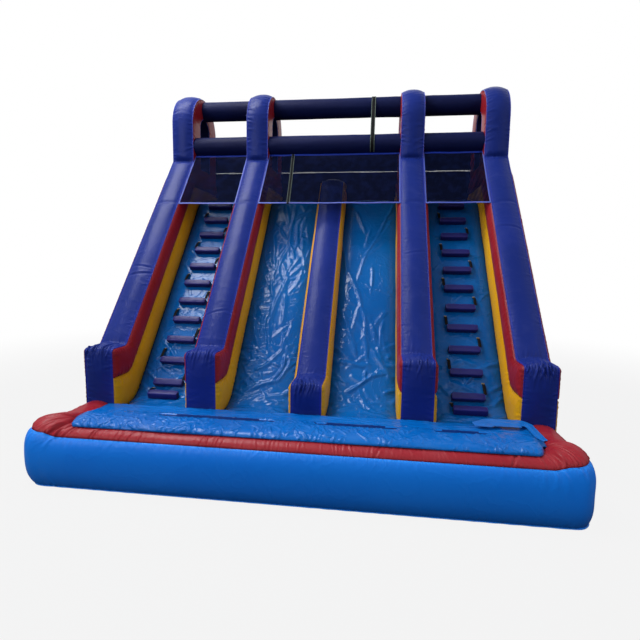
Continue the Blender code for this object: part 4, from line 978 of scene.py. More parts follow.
@dataclass
class ChamberShape:
    """The outline and the flat panels of a chamber that stands on edge."""

    profile: Profile
    thickness: float = 0.41
    tube_bulge: float = 0.055
    spacing: float = 0.012
    panel_spacing: float = 0.05
    row_spacing: float = 0.014
    row_gaps: tuple[float, ...] = (0.006, 0.014, 0.024, 0.037, 0.053, 0.073, 0.1)
    crown_height: float = 0.062

    def corners(self) -> list[tuple[float, float, float]]:
        """Return the outline's corners with their radii, from the front foot round to the rear one."""
        raise NotImplementedError

    def bulge(self) -> Array:
        """Return how far the band round the edge bulges at each point of the outline."""
        raise NotImplementedError

    def seams(self) -> list[Array]:
        """Return the seams across the panels, the bed's line last."""
        raise NotImplementedError

    def hole(self) -> Array | None:
        """Return the closed outline of a hole, or None."""
        return None

    def slots_of(self, middles: Array) -> Array:
        """Return the material number of each panel face by its middle."""
        raise NotImplementedError

    def crown(self, points: Array, gap: Array) -> Array:
        """Return how far the panels stand out at points, by their gap to the nearest seam."""
        raise NotImplementedError

    def fans(self) -> list[tuple[tuple[float, float], float, float]]:
        """Return the outline's puckered corners: a point, the tucks' depth and their reach."""
        raise NotImplementedError

    def pleating(self, points: Array) -> Array:
        """Return how strongly the cloth is gathered at (y, z) points, 0 to 1.

        Args:
            points: The (y, z) points.

        Returns:
            The strength at each point.
        """
        side = self.profile
        arch = eased(points[:, 1], side.crease_height - 0.1, side.crease_height + 0.1)
        pillar = 1 - eased(points[:, 1], self.corners()[1][1] - 0.05, self.corners()[1][1] + 0.4)
        rear = eased(points[:, 0], side.back - 0.5, side.back - 0.1) * 0.5
        return np.clip(np.maximum(0.38 + 0.62 * arch, 0.75 * pillar) - rear, 0.0, 1.0)

    @cached_property
    def outline(self) -> Array:
        """Return the outline's points, closer together where the camera sees them.

        Returns:
            The (y, z) points, from the front foot round to the rear one.
        """
        even = resampled(rounded_path(self.corners()), self.spacing)
        order = np.arange(len(even))
        hidden = (even[:, 0] > self.profile.back - 0.001) & (even[:, 1] < self.profile.crease_height)
        return even[~hidden | (order % 3 == 0) | (order == len(even) - 1)]

    @cached_property
    def normals(self) -> Array:
        """Return the outward direction at each point of the outline."""
        return left_normals(self.outline)

    def place_of(self, point: tuple[float, float]) -> float:
        """Return how far along the outline its nearest point to a (y, z) point lies."""
        return float(nearest(np.array([point]), self.outline)[1][0])

    @cached_property
    def panel(self) -> tuple[Array, Array]:
        """Return the panel's points, the outline's own first, and its triangles.

        Returns:
            The (y, z) points, and rows of three of their numbers.
        """
        loop, hole = self.outline, self.hole()
        lines = [loop, *[resampled(line, self.row_spacing) for line in self.seams()]]
        closed = [np.vstack([loop, loop[:1]]), *lines[1:]]
        if hole is not None:
            lines.append(hole)
            closed.append(np.vstack([hole, hole[:1]]))
        low, high = loop.min(axis=0), loop.max(axis=0)
        counts = np.ceil((high - low) / self.panel_spacing).astype(int)
        ys, zs = np.meshgrid(np.linspace(low[0], high[0], counts[0]), np.linspace(low[1], high[1], counts[1]))
        even = np.stack([ys.ravel(), zs.ravel()], axis=1)
        jitter = np.stack([noise(even * 41.0, 5), noise(even * 43.0, 6)], axis=1)
        wanted = [(even + jitter * self.panel_spacing * 0.25, self.row_gaps[-1] + self.panel_spacing * 0.4)]
        for line in closed:
            path = resampled(line, self.row_spacing)
            for gap in self.row_gaps:
                for way in (-1, 1):
                    wanted.append((path + left_normals(path) * gap * way, gap * 0.93))
        rows = np.vstack([spots for spots, _ in wanted])
        least = np.concatenate([np.full(len(spots), gap) for spots, gap in wanted])
        keep = within(rows, loop)
        if hole is not None:
            keep &= ~within(rows, hole)
        rows, least = rows[keep], least[keep]
        for line in closed:
            keep = nearest(rows, line)[0] >= least
            rows, least = rows[keep], least[keep]
        bed = self.seams()[-1]
        under = rows[:, 1] < height_at(bed, rows) - 0.02
        inside = nearest(rows, closed[0])[0] < self.row_gaps[-1]
        rows = rows[~under | ~inside | (rows[:, 0] < 0.12) | (least > self.row_gaps[-1])]
        points = np.vstack([*lines, rows])
        edges: list[tuple[int, int]] = []
        start = 0
        for line in lines:
            last = len(line) if line is loop or line is hole else len(line) - 1
            edges.extend((start + index, start + (index + 1) % len(line)) for index in range(last))
            start += len(line)
        found, _, faces, sources, _, _ = delaunay_2d_cdt([Vector(point) for point in points], edges, [], 1,
                                                          WELD / 10)
        order = {min(source): number for number, source in enumerate(sources) if source}
        first = [order[index] for index in range(len(loop))]
        rim = set(first)
        others = [number for number in range(len(found)) if number not in rim]
        renumber = np.zeros(len(found), dtype=int)
        renumber[first + others] = np.arange(len(found))
        triangles = renumber[np.array([face for face in faces if len(face) == 3])]
        ordered = np.array([tuple(found[number]) for number in first + others])
        if hole is not None:
            triangles = triangles[~within(ordered[triangles].mean(axis=1), hole)]
        return ordered, triangles

    @cached_property
    def fields(self) -> dict[str, Array]:
        """Return what each panel point knows: its gap and place at the nearest seam and at the outline.

        Returns:
            One array for each name, with a value for each point.
        """
        flat = self.panel[0]
        closed = np.vstack([self.outline, self.outline[:1]])
        edge_gap, edge_place = nearest(flat, closed)
        rim_count = len(self.outline)
        edge_gap[:rim_count] = 0.0
        edge_place[:rim_count] = lengths_along(self.outline)
        gap, place = edge_gap, edge_place
        lines = self.seams()
        if self.hole() is not None:
            lines = [*lines, np.vstack([self.hole(), self.hole()[:1]])]
        for number, line in enumerate(lines):
            line_gap, line_place = nearest(flat, line)
            closer = line_gap < gap
            gap = np.where(closer, line_gap, gap)
            place = np.where(closer, line_place + 20.0 * (number + 1), place)
        bed = self.seams()[-1]
        low = flat[:, 1] < height_at(bed, flat)
        return {"gap": gap, "place": place, "edge_gap": edge_gap, "edge_place": edge_place, "low": low,
                "pleating": self.pleating(flat)}


@dataclass
class TallShape(ChamberShape):
    """A side wall: front pillar, sloping tube, arch and rear leg."""

    flat_leg_height: float = 4.62
    crown_fade: float = 0.3

    def corners(self) -> list[tuple[float, float, float]]:
        """Return the outline's corners with their radii, from the front foot round to the rear one.

        Returns:
            Each corner's y, z and radius.
        """
        side = self.profile
        return [(0.0, 0.0, 0), (0.0, side.pillar_top, side.pillar_radius),
                (side.slope_y(side.pillar_top, 0.0), side.pillar_top, side.ledge_radius),
                (side.arch_front, side.crease_height, 0.03), (side.arch_front, side.arch_top, side.arch_radius),
                (side.back, side.arch_top, side.arch_radius), (side.back, 0.0, 0)]

    def bulge(self) -> Array:
        """Return how far the band round the edge bulges at each point of the outline.

        Returns:
            The bulge at each point.
        """
        side = self.profile
        y, z = self.outline[:, 0], self.outline[:, 1]
        middle = side.arch_front + side.arch_radius
        front = np.clip((z - side.bulge_start) / (side.bulge_full - side.bulge_start), 0, 1)
        rear = np.clip((side.back - y) / (side.back - middle), 0, 1)
        size = np.where(y < 0.001, front, np.where(y > middle, rear, 1.0))
        near_crease = np.abs(y - side.arch_front) < 0.15
        pinch = np.exp(-((z - side.crease_height) / 0.05) ** 2) * near_crease
        hem = np.exp(-((z - side.hem_height) / 0.03) ** 2) * (y < middle)
        ledge = np.exp(-((y - side.slope_y(side.pillar_top, 0.0)) ** 2 + (z - side.pillar_top) ** 2) / 0.006)
        corner = np.exp(-(y ** 2 + (z - side.pillar_top) ** 2) / 0.012)
        return self.tube_bulge * size * (1 - 0.75 * pinch - 0.2 * hem - 0.35 * ledge - 0.45 * corner)

    def fans(self) -> list[tuple[tuple[float, float], float, float]]:
        """Return the outline's puckered corners: a point, the tucks' depth and their reach.

        Returns:
            A (y, z) point, the tucks' depth and their reach for each.
        """
        side = self.profile
        return [((0.0, side.pillar_top), 0.025, 0.12),
                ((side.slope_y(side.pillar_top, 0.0), side.pillar_top), 0.006, 0.1),
                ((side.arch_front, side.crease_height), 0.006, 0.07)]

    def seams(self) -> list[Array]:
        """Return the seams across the panels, the bed's line last."""
        return [self.profile.seam_line(), self.profile.bed_line(self.profile.bed_side_drop)]

    def hole(self) -> Array | None:
        """Return the closed outline of the crawl hole through the arch.

        Returns:
            The hole's (y, z) points.
        """
        side = self.profile
        middle = side.arch_front + side.arch_radius
        top = side.arch_top - side.arch_radius + side.hole_radius
        front, back = middle - side.hole_radius, middle + side.hole_radius
        path = rounded_path([(front, side.hole_bottom, 0), (front, top, side.hole_radius),
                             (back, top, side.hole_radius), (back, side.hole_bottom, 0),
                             (front + 0.02, side.hole_bottom, 0)])
        return resampled(path, 0.02)

    def slots_of(self, middles: Array) -> Array:
        """Return the material number of each panel face by its middle.

        Args:
            middles: The faces' (y, z) middles.

        Returns:
            One material number for each face.
        """
        seam, bed = self.seams()
        above_seam = middles[:, 1] > height_at(seam, middles)
        above_bed = middles[:, 1] > height_at(bed, middles)
        return np.where(above_seam, 1, np.where(above_bed, 2, 0))

    def crown(self, points: Array, gap: Array) -> Array:
        """Return how far the panels stand out at points, by their gap to the nearest seam.

        Args:
            points: The (y, z) points.
            gap: Each point's gap to its nearest seam.

        Returns:
            The height at each point.
        """
        side = self.profile
        seam, bed = self.seams()
        red = points[:, 1] > height_at(seam, points)
        half_width = np.where(red, side.seam_depth, side.bed_depth + side.bed_side_drop - side.seam_depth) / 2
        share = np.clip(gap / half_width, 0, 1)
        shown = points[:, 1] > height_at(bed, points)
        fade = np.clip((self.flat_leg_height - points[:, 1]) / self.crown_fade, 0, 1)
        return self.crown_height * np.sqrt(1 - (1 - share) ** 2) * shown * np.maximum(fade, 0.3)


@dataclass
class DividerShape(ChamberShape):
    """The low divider between the slide lanes."""

    rise: float = 0.3
    pillar_top: float = 1.09
    top_height: float = 4.33
    top_back: float = 3.25
    top_radius: float = 0.12

    def corners(self) -> list[tuple[float, float, float]]:
        """Return the outline's corners with their radii, from the front foot round to the rear one.

        Returns:
            Each corner's y, z and radius.
        """
        side = self.profile
        depth = side.bed_depth - self.rise
        return [(0.0, 0.0, 0), (0.0, self.pillar_top, side.pillar_radius),
                (side.slope_y(self.pillar_top, depth), self.pillar_top, side.ledge_radius),
                (side.slope_y(self.top_height, depth), self.top_height, self.top_radius),
                (self.top_back, self.top_height, self.top_radius), (self.top_back, side.platform_height, 0.02),
                (side.back, side.platform_height, 0.0), (side.back, 0.0, 0)]

    def bulge(self) -> Array:
        """Return how far the band round the edge bulges at each point of the outline.

        Returns:
            The bulge at each point.
        """
        y, z = self.outline[:, 0], self.outline[:, 1]
        rise = np.clip((z - self.profile.bulge_start) / 0.2, 0, 1)
        corner = np.exp(-(y ** 2 + (z - self.pillar_top) ** 2) / 0.012)
        return self.tube_bulge * rise * (y < self.top_back - 0.01) * (1 - 0.45 * corner)

    def fans(self) -> list[tuple[tuple[float, float], float, float]]:
        """Return the outline's puckered corners: a point, the tucks' depth and their reach.

        Returns:
            A (y, z) point, the tucks' depth and their reach for each.
        """
        side = self.profile
        depth = side.bed_depth - self.rise
        return [((0.0, self.pillar_top), 0.027, 0.11),
                ((side.slope_y(self.pillar_top, depth), self.pillar_top), 0.007, 0.12),
                ((side.slope_y(self.top_height, depth), self.top_height), 0.008, 0.09)]

    def seams(self) -> list[Array]:
        """Return the seams across the panels, the bed's line last."""
        return [self.profile.bed_line(self.profile.bed_side_drop)]

    def slots_of(self, middles: Array) -> Array:
        """Return the material number of each panel face by its middle."""
        bed = self.seams()[0]
        return np.where(middles[:, 1] > height_at(bed, middles), 2, 0)

    def crown(self, points: Array, gap: Array) -> Array:
        """Return how far the panels stand out at points, by their gap to the nearest seam.

        Args:
            points: The (y, z) points.
            gap: Each point's gap to its nearest seam.

        Returns:
            The height at each point.
        """
        side = self.profile
        bed = self.seams()[0]
        share = np.clip(gap / ((self.rise + side.bed_side_drop) / 2), 0, 1)
        shown = points[:, 1] > height_at(bed, points)
        return self.crown_height * np.sqrt(1 - (1 - share) ** 2) * shown


@dataclass
class Chamber:
    """One wall or the divider: a gathered band round its edge, quilted panels and piped seams."""

    name: str
    node: str
    centre_x: float
    shape: ChamberShape
    seed: int
    open_side: int = 0
    creases: tuple[tuple[float, float, float], ...] = ()
    gather_height: float = 0.0025
    gather_reach: float = 0.035
    piping_radius: float = 0.006
    columns: int = 57
    tuck_depth: float = 0.0075
    panel_tuck_pitch: float = 0.065
    panel_tuck_depth: float = 0.0085
    fan_pitch: float = 0.036
    fan_width: float = 0.0092
    fan_slant: float = 0.5
    slow_lift: float = 0.004
    crease_width: float = 0.014

    def edge_gathers(self, along: Array) -> Array:
        """Return how far the seam's edge moves in and out at places along the outline."""
        return self.gather_height * ripple(along, 0.05, self.seed)

    def band(self) -> tuple[Array, Array, Array]:
        """Return the points of the band round the edge, their gap to its seams and their place along it.

        Returns:
            The points by station and place across, and two grids with their gap and place.
        """
        shape = self.shape
        half = shape.thickness / 2
        run = lengths_along(shape.outline)
        even = np.linspace(-1, 1, self.columns)
        shares = 0.45 * even + 0.55 * np.sin(even * math.pi / 2)
        along, share = np.meshgrid(run, shares, indexing="ij")
        gap = (1 - np.abs(share)) * half
        strength = shape.pleating(shape.outline)[:, None]
        lift = shape.bulge()[:, None] * (1 - np.abs(share) ** 2.2)
        lift += self.edge_gathers(run)[:, None] * np.exp(-gap / self.gather_reach)
        for way in (-1, 1):
            tucks = PleatRow(self.seed + 5 * way, depth=self.tuck_depth).height(along, gap)
            lift += tucks * strength * (1 - np.exp(-gap / 0.008)) * (share * way > 0)
        lift += self.slow_lift * noise_over(self.seed + 3, along * 2.2, share * 1.4) * (1 - share ** 4)
        for number, (point, depth, reach) in enumerate(shape.fans()):
            away = np.abs(along - shape.place_of(point))
            row = PleatRow(self.seed + 21 + number, self.fan_pitch, self.fan_width, depth, reach,
                           self.fan_slant)
            lift += row.height(share * half + 5.0, away) * (1 - share ** 6)
        height = shape.outline[:, 1:2]
        slope = (shape.outline[:, 0:1] < shape.profile.arch_front - 0.02) & (shape.outline[:, 0:1] > 0.05)
        for level, depth, lean in self.creases:
            away = (height - level - lean * share * half) / self.crease_width
            lift -= depth * (np.exp(-away ** 2) - 0.45 * np.exp(-(away - 2.2) ** 2)) * slope * (1 - share ** 4)
        points = np.zeros((*along.shape, 3))
        points[..., 0] = share * half
        points[..., 1:] = shape.outline[:, None] + shape.normals[:, None] * lift[..., None]
        return points, gap, along

    def build(self, finishes: Sequence[Finish]) -> bpy.types.Object:
        """Make the chamber.

        Args:
            finishes: The band's, the upper panels', the lower panels' and the hole lining's finishes; the hole
                lining's is a darker painted shade.

        Returns:
            The chamber's piece.
        """
        shape = self.shape
        half = shape.thickness / 2
        skin = Skin()
        points, gaps, along = self.band()
        skin.grid(points, 0, gaps, close_rows=True, along=along)
        flat, triangles = shape.panel
        known = shape.fields
        rim_count = len(shape.outline)
        run = lengths_along(np.vstack([shape.outline, shape.outline[:1]]))
        normal = np.stack([np.interp(known["edge_place"], run,
                                     np.append(shape.normals[:, axis], shape.normals[0, axis]))
                           for axis in range(2)], axis=1)
        moved = self.edge_gathers(known["edge_place"]) * np.exp(-known["edge_gap"] / self.gather_reach)
        slots = shape.slots_of(flat[triangles].mean(axis=1))
        gap, place, off = known["gap"], known["place"], 1 - np.exp(-known["gap"] / 0.008)
        for side in (-1, 1):
            seed = self.seed + 11 * (side + 2)
            shown = 1.0 if side == self.open_side else ~known["low"]
            row = PleatRow(seed, pitch=self.panel_tuck_pitch, depth=self.panel_tuck_depth)
            tucks = row.height(place, gap) * known["pleating"]
            fine = PleatRow(seed + 40, pitch=0.03, width=0.007, depth=0.003, reach=0.04).height(place, gap)
            soft = noise(flat * 3.0, seed + 2) * 0.005 * (1 - np.exp(-gap / 0.06))
            height = shape.crown(flat, gap) + (tucks * off + fine * off + soft) * shown
            height[:rim_count] = 0.0
            skin.triangles(np.column_stack([side * (half + height), flat + normal * moved[:, None]]),
                           triangles, slots, gap, place)
        hole = shape.hole()
        if hole is not None:
            shares = np.linspace(-1, 1, 13)
            rows = np.zeros((len(hole), len(shares), 3))
            middle = hole.mean(axis=0)
            rim_height = shape.crown(hole, np.zeros(len(hole)))
            for column, share in enumerate(shares):
                rows[:, column, 0] = share * (half + rim_height)
                rows[:, column, 1:] = middle + (hole - middle) * (1 - 0.05 * (1 - share ** 2))
            # The hole's lining takes the deep navy finish, painted shade inside the hole.
            skin.grid(rows, 3, (half - np.abs(shares) * half)[None].repeat(len(hole), 0), close_rows=True)
        return place_piece(skin.build(self.name, finishes, self.centre_x), Slot.NAVY, self.node)

    def cord_round(self, skin: Skin, path: Array, outward: Array, x: float, slots: Array,
                   closed: bool = False) -> None:
        """Add one piped edge.

        Args:
            skin: Where its mesh goes.
            path: The edge's (y, z) points.
            outward: The direction away from the cloth at each point.
            x: The edge's place along X.
            slots: The material number of each stretch of the path.
            closed: Whether the edge is a ring.
        """
        radius = self.piping_radius
        angles = np.linspace(0, 2 * math.pi, 7)[:-1]
        rows = np.zeros((len(path), len(angles), 3))
        for column, angle in enumerate(angles):
            rows[:, column, 0] = x + radius * math.cos(angle)
            rows[:, column, 1:] = path + outward * radius * math.sin(angle)
        if closed:
            skin.grid(rows, int(slots[0]), close_rows=True, close_columns=True)
            return
        breaks = [0, *(np.flatnonzero(np.diff(slots)) + 1).tolist(), len(slots) - 1]
        for first, last in zip(breaks[:-1], breaks[1:]):
            skin.grid(rows[first:last + 1], int(slots[first]), close_columns=True)
        skin.cap(rows[0])
        skin.cap(rows[-1])

    def piping(self) -> bpy.types.Object:
        """Make the piped seams along both edges of the band and round the hole.

        Returns:
            The piece.
        """
        shape = self.shape
        skin = Skin()
        outline = shape.outline
        run = lengths_along(outline)
        first = int(np.argmax(outline[:, 1] > shape.profile.landing_height))
        last = len(run) - int(np.argmax(outline[::-1, 1] > 0.02))
        # Above the crease, and round the hole, the piping takes the paler copy: painted highlight on the arch.
        pale = (outline[:, 1] > shape.profile.crease_height).astype(int)
        lift = (self.edge_gathers(run) + self.piping_radius * 0.35)[:, None]
        edge = (outline + shape.normals * lift)[first:last]
        hole = shape.hole()
        for side in (-1, 1):
            x = side * (shape.thickness / 2 + self.piping_radius * 0.35)
            self.cord_round(skin, edge, shape.normals[first:last], x, pale[first:last])
            if hole is not None:
                outward = hole - hole.mean(axis=0)
                outward /= np.linalg.norm(outward, axis=1)[:, None]
                self.cord_round(skin, hole, outward, x, np.ones(len(hole), dtype=int), closed=True)
        made = skin.build(f"{self.name}_piping", [PIPING, ARCH_HIGHLIGHT_PIPING], self.centre_x)
        return place_piece(made, Slot.NAVY)


@dataclass
class LaneBed:
    """A lane's inflated bed with its loose, folded liner."""

    name: str
    node: str
    profile: Profile
    seed: int
    climbing: bool = False
    long_folds: int = 30
    flat_share: float = 0.5
    across_spacing: float = 0.013
    along_spacing: float = 0.018
    groove_drop: float = 0.035
    groove_width: float = 0.03
    most_lift: float = 0.045
    small_kind: FoldKind = FoldKind((0.12, 0.36), (0.005, 0.012), (0.011, 0.017), 0.2, (0.25, 1.25))
    long_kind: FoldKind = FoldKind((0.4, 1.7), (0.01, 0.022), (0.022, 0.046), 0.11)
    side_kind: FoldKind = FoldKind((0.15, 0.6), (0.004, 0.01), (0.01, 0.016), 0.15, (0.5, 1.2), 1)
    foot_kind: FoldKind = FoldKind((0.2, 0.7), (0.014, 0.03), (0.022, 0.04), 0.16, (0.75, 1.5), spread=0.8)
    small_first: float = 0.75
    small_last: float = 4.7
    small_pitch: float = 0.12
    long_run: tuple[float, float] = (0.9, 4.0)
    side_run: tuple[float, float] = (0.9, 4.4)
    side_place: float = 0.86
    foot_run: tuple[float, float] = (0.08, 1.2)
    climb_foot_folds: int = 24
    slide_foot_folds: int = 42
    slow_lift: float = 0.007
    fine_lift: float = 0.0012

    def folds(self, across: Array, along: Array) -> Array:
        """Return the liner's folds.

        Args:
            across: Metres from the bed's middle line.
            along: Metres up the bed.

        Returns:
            The height at each place, along by across.
        """
        field = FoldField(across, along, self.seed)
        draw, half = field.draw, float(across[-1])
        if self.climbing:
            for place in np.arange(self.small_first, self.small_last, self.small_pitch):
                start = np.array((draw.uniform(-0.85, 0.85) * half, place + draw.uniform(-0.05, 0.05)))
                field.strewn(self.small_kind, start)
        for _ in range(self.long_folds):
            start = np.array((np.clip(draw.normal(0.12, 0.36), -0.8, 0.8) * half, draw.uniform(*self.long_run)))
            field.branching(self.long_kind, start, draw.normal(0.0, 0.24))
        for _ in range(self.long_folds // 2):
            side = draw.choice((-1, 1))
            start = np.array((side * self.side_place * half, draw.uniform(*self.side_run)))
            field.branching(self.side_kind, start, -side * draw.uniform(*self.side_kind.turn))
        for _ in range(self.climb_foot_folds if self.climbing else self.slide_foot_folds):
            start = np.array((draw.uniform(-0.92, 0.85) * half, draw.uniform(*self.foot_run)))
            field.strewn(self.foot_kind, start)
        grid_a, grid_s = np.meshgrid(across, along)
        slow = noise_over(self.seed + 6, grid_a * 2.4, grid_s * 1.1)
        fine = noise_over(self.seed + 7, grid_a * 9.0, grid_s * 4.0)
        return field.height + (self.slow_lift * slow + self.fine_lift * fine)

    def build(self) -> bpy.types.Object:
        """Make the bed.

        Returns:
            The piece.
        """
        low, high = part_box(self.node)
        half = (high.x - low.x) / 2
        shares = np.linspace(-1, 1, round(2 * half / self.across_spacing) + 1)
        base = resampled(self.profile.bed_line(), self.along_spacing)
        run = lengths_along(base)
        fall = np.clip(np.abs(shares) - self.flat_share, 0.0, None) / (1 - self.flat_share)
        gap = (1 - np.abs(shares)) * half
        drop = self.profile.bed_side_drop * fall ** 2.2 + self.groove_drop * np.exp(-gap / self.groove_width)
        lift = self.folds(shares * half, run) * (1 - np.exp(-gap / 0.05)) * eased(run, 0.0, 0.08)[:, None]
        lift = np.minimum(lift, self.most_lift) - drop
        rows = np.zeros((*lift.shape, 3))
        rows[..., 0] = shares * half
        rows[..., 1:] = base[:, None] + left_normals(base)[:, None] * lift[..., None]
        rows[0, :, 1] = base[0, 0]
        rows[-1, :, 1] = base[-1, 0]
        skin = Skin()
        skin.grid(rows, 0, np.tile(gap + 0.03, (len(base), 1)))
        for edge_row in (rows[:, 0], rows[:, -1][::-1], rows[0][::-1], rows[-1]):
            skin.grid(np.stack([edge_row, edge_row * np.array((1.0, 1.0, 0.0))]), 0)
        base_row = rows * np.array((1.0, 1.0, 0.0))
        skin.grid(np.stack([base_row[:, 0], base_row[:, -1]]), 0)
        made = skin.build(self.name, [LINER], middle_x(self.node))
        return place_piece(made, Slot.LIGHT_BLUE, self.node)


@dataclass
class ClimbingSteps:
    """The step blocks of one climbing lane, each but the top one with a hand strap."""

    side: Side
    profile: Profile
    length: float = 0.46
    depth: float = 0.1
    height: float = 0.1
    count: int = 12
    pitch: float = 0.383
    top_distance: float = 0.16
    foot_pitch: float = 0.26
    strap_width: float = 0.045
    strap_thickness: float = 0.004
    strap_offset: float = 0.235
    strap_share: float = 0.56
    strap_rise: float = 0.05
    strap_shares: tuple[float, ...] = (0.0, 0.22, 0.45, 0.66, 0.84, 0.92, 1.0)
    strap_lifts: tuple[float, ...] = (1.5, 1.3, 1.08, 0.92, 0.5, 0.08, 0.04)
    round_share: float = 0.07
    square_share: float = 0.93
    puff: float = 0.006
    unevenness: float = 0.0022
    end_dome: float = 0.006

    @cached_property
    def track(self) -> tuple[Array, Array]:
        """Return the climbing surface downhill from the lip, and how far along it each point lies.

        Returns:
            The (y, z) points, and each one's distance from the lip.
        """
        line = self.profile.bed_line()
        lip = self.profile.slope_y(self.profile.platform_height, self.profile.bed_depth)
        reach = self.profile.lip_fillet * math.tan(self.profile.slope_angle / 2)
        start = lip - reach * math.cos(self.profile.slope_angle)
        path = line[line[:, 0] <= start + 0.0005][::-1]
        return path, lengths_along(path)

    def spot(self, distance: float) -> Array:
        """Return the place at a distance down the track."""
        path, run = self.track
        return np.array([np.interp(distance, run, path[:, axis]) for axis in range(2)])

    def frame_at(self, distance: float) -> tuple[Array, Array, Array]:
        """Return a step's seat, its uphill direction and the direction off the bed.

        Args:
            distance: How far down the track the step sits.

        Returns:
            The seat and the two unit directions, in (y, z).
        """
        upper, lower = self.spot(distance - self.depth / 2), self.spot(distance + self.depth / 2)
        uphill = (upper - lower) / np.linalg.norm(upper - lower)
        return (upper + lower) / 2, uphill, np.array((-uphill[1], uphill[0]))

    def block(self, name: str, node: str, distance: float, seed: int) -> bpy.types.Object:
        """Make one padded step with puffed faces and drawn-in edges.

        Args:
            name: The piece's name.
            node: The node it stands for.
            distance: How far down the track it sits.
            seed: Which of the uneven shapes it has.

        Returns:
            The step's piece.
        """
        seat, uphill, off = self.frame_at(distance)
        around, along = 36, 34
        angles = np.linspace(0, 2 * math.pi, around + 1)[:-1]
        shares = np.sin(np.linspace(-math.pi / 2, math.pi / 2, along + 1))
        ring = np.stack([np.cos(angles), np.sin(angles)], axis=1)
        square = ring / np.max(np.abs(ring), axis=1)[:, None]
        outline = ring * self.round_share + square * self.square_share
        puff = 1 - np.min(np.abs(square), axis=1) ** 2
        rows = np.zeros((along + 1, around, 3))
        gaps = np.zeros((along + 1, around))
        for row, share in enumerate(shares):
            end = (1 - abs(share)) * self.length / 2
            draw = 0.86 + 0.14 * math.sqrt(min(end / 0.03, 1.0))
            uneven = noise_over(seed, np.full(around, share * 5.0), square[:, 0] * 1.4, square[:, 1] * 1.4)
            lift = self.puff * puff * min(end / 0.05, 1.0) + self.unevenness * uneven
            section = outline * (draw + lift[:, None] * 20)
            rise = np.clip((section[:, 1] + 1) / 2, 0.004, None)
            y = seat[0] + uphill[0] * section[:, 0] * self.depth / 2 + off[0] * rise * self.height
            z = seat[1] + uphill[1] * section[:, 0] * self.depth / 2 + off[1] * rise * self.height
            rows[row] = np.column_stack([np.full(around, share * self.length / 2), y, z])
            gaps[row] = np.minimum(end, (1 - np.min(np.abs(square), axis=1)) * self.depth / 2)
        skin = Skin()
        skin.grid(rows, 0, gaps + 0.004, close_columns=True)
        for loop, way in ((rows[0], -1), (rows[-1], 1)):
            skin.cap(loop, 0, 5, np.array((way * self.end_dome, 0.0, 0.0)))
        made = skin.build(name, [INDIGO], self.centre_x)
        place_piece(made, Slot.INDIGO, node)
        return made

    @property
    def centre_x(self) -> float:
        """Return the lane's middle."""
        return middle_x(f"climb_bed_{self.side.name.lower()}")

    def strap(self, name: str, distance: float, length: float, end: int) -> bpy.types.Object:
        """Make a hand strap from a step's upper edge down over the bed, with its sewn ends.

        Args:
            name: The piece's name.
            distance: How far down the track its step sits.
            length: How far uphill it reaches.
            end: Which end of the step it sits at, -1 or 1.

        Returns:
            The strap's piece.
        """
        shares = np.linspace(0.0, 1.0, 25)
        rise = self.strap_rise * np.interp(shares, self.strap_shares, self.strap_lifts)
        start = self.depth / 2 - 2 * self.strap_thickness
        spots, offs = [], []
        for share, lift in zip(shares, rise):
            reach = distance - start - share * length
            upper, lower = self.spot(reach - 0.01), self.spot(reach + 0.01)
            uphill = (upper - lower) / np.linalg.norm(upper - lower)
            off = np.array((-uphill[1], uphill[0]))
            spots.append(self.spot(reach) + off * lift)
            offs.append(off)
        centre, off = np.array(spots), np.array(offs)
        half, thick = self.strap_width / 2, self.strap_thickness
        corners = ((-half, 0.0), (half, 0.0), (half, thick), (-half, thick))
        rows = np.zeros((len(centre), len(corners), 3))
        for column, (x, lift) in enumerate(corners):
            rows[:, column, 0] = end * self.strap_offset + x
            rows[:, column, 1:] = centre + off * lift
        skin = Skin()
        skin.grid(rows[:-3], 0, close_columns=True)
        skin.grid(rows[-4:], 1, close_columns=True)
        skin.cap(rows[0])
        skin.cap(rows[-1], 1)
        made = skin.build(name, [STRAP, STRAP_END], self.centre_x)
        return place_piece(made, Slot.WEBBING)

    def build(self) -> None:
        """Make all steps and straps of the lane."""
        prefix = self.side.name.lower()
        distance = self.top_distance
        for number in range(1, self.count + 1):
            pitch = self.pitch if number < self.count else self.foot_pitch
            if number > 1:
                distance += pitch
            node = f"{prefix}_step_{number:02d}"
            self.block(f"{prefix}_padded_step_{number:02d}", node, distance, number * 7 + self.side.value)
            if number > 1:
                end = -1 if number % 2 == 0 else 1
                self.strap(f"{prefix}_hand_strap_{number:02d}", distance, pitch * self.strap_share, end)


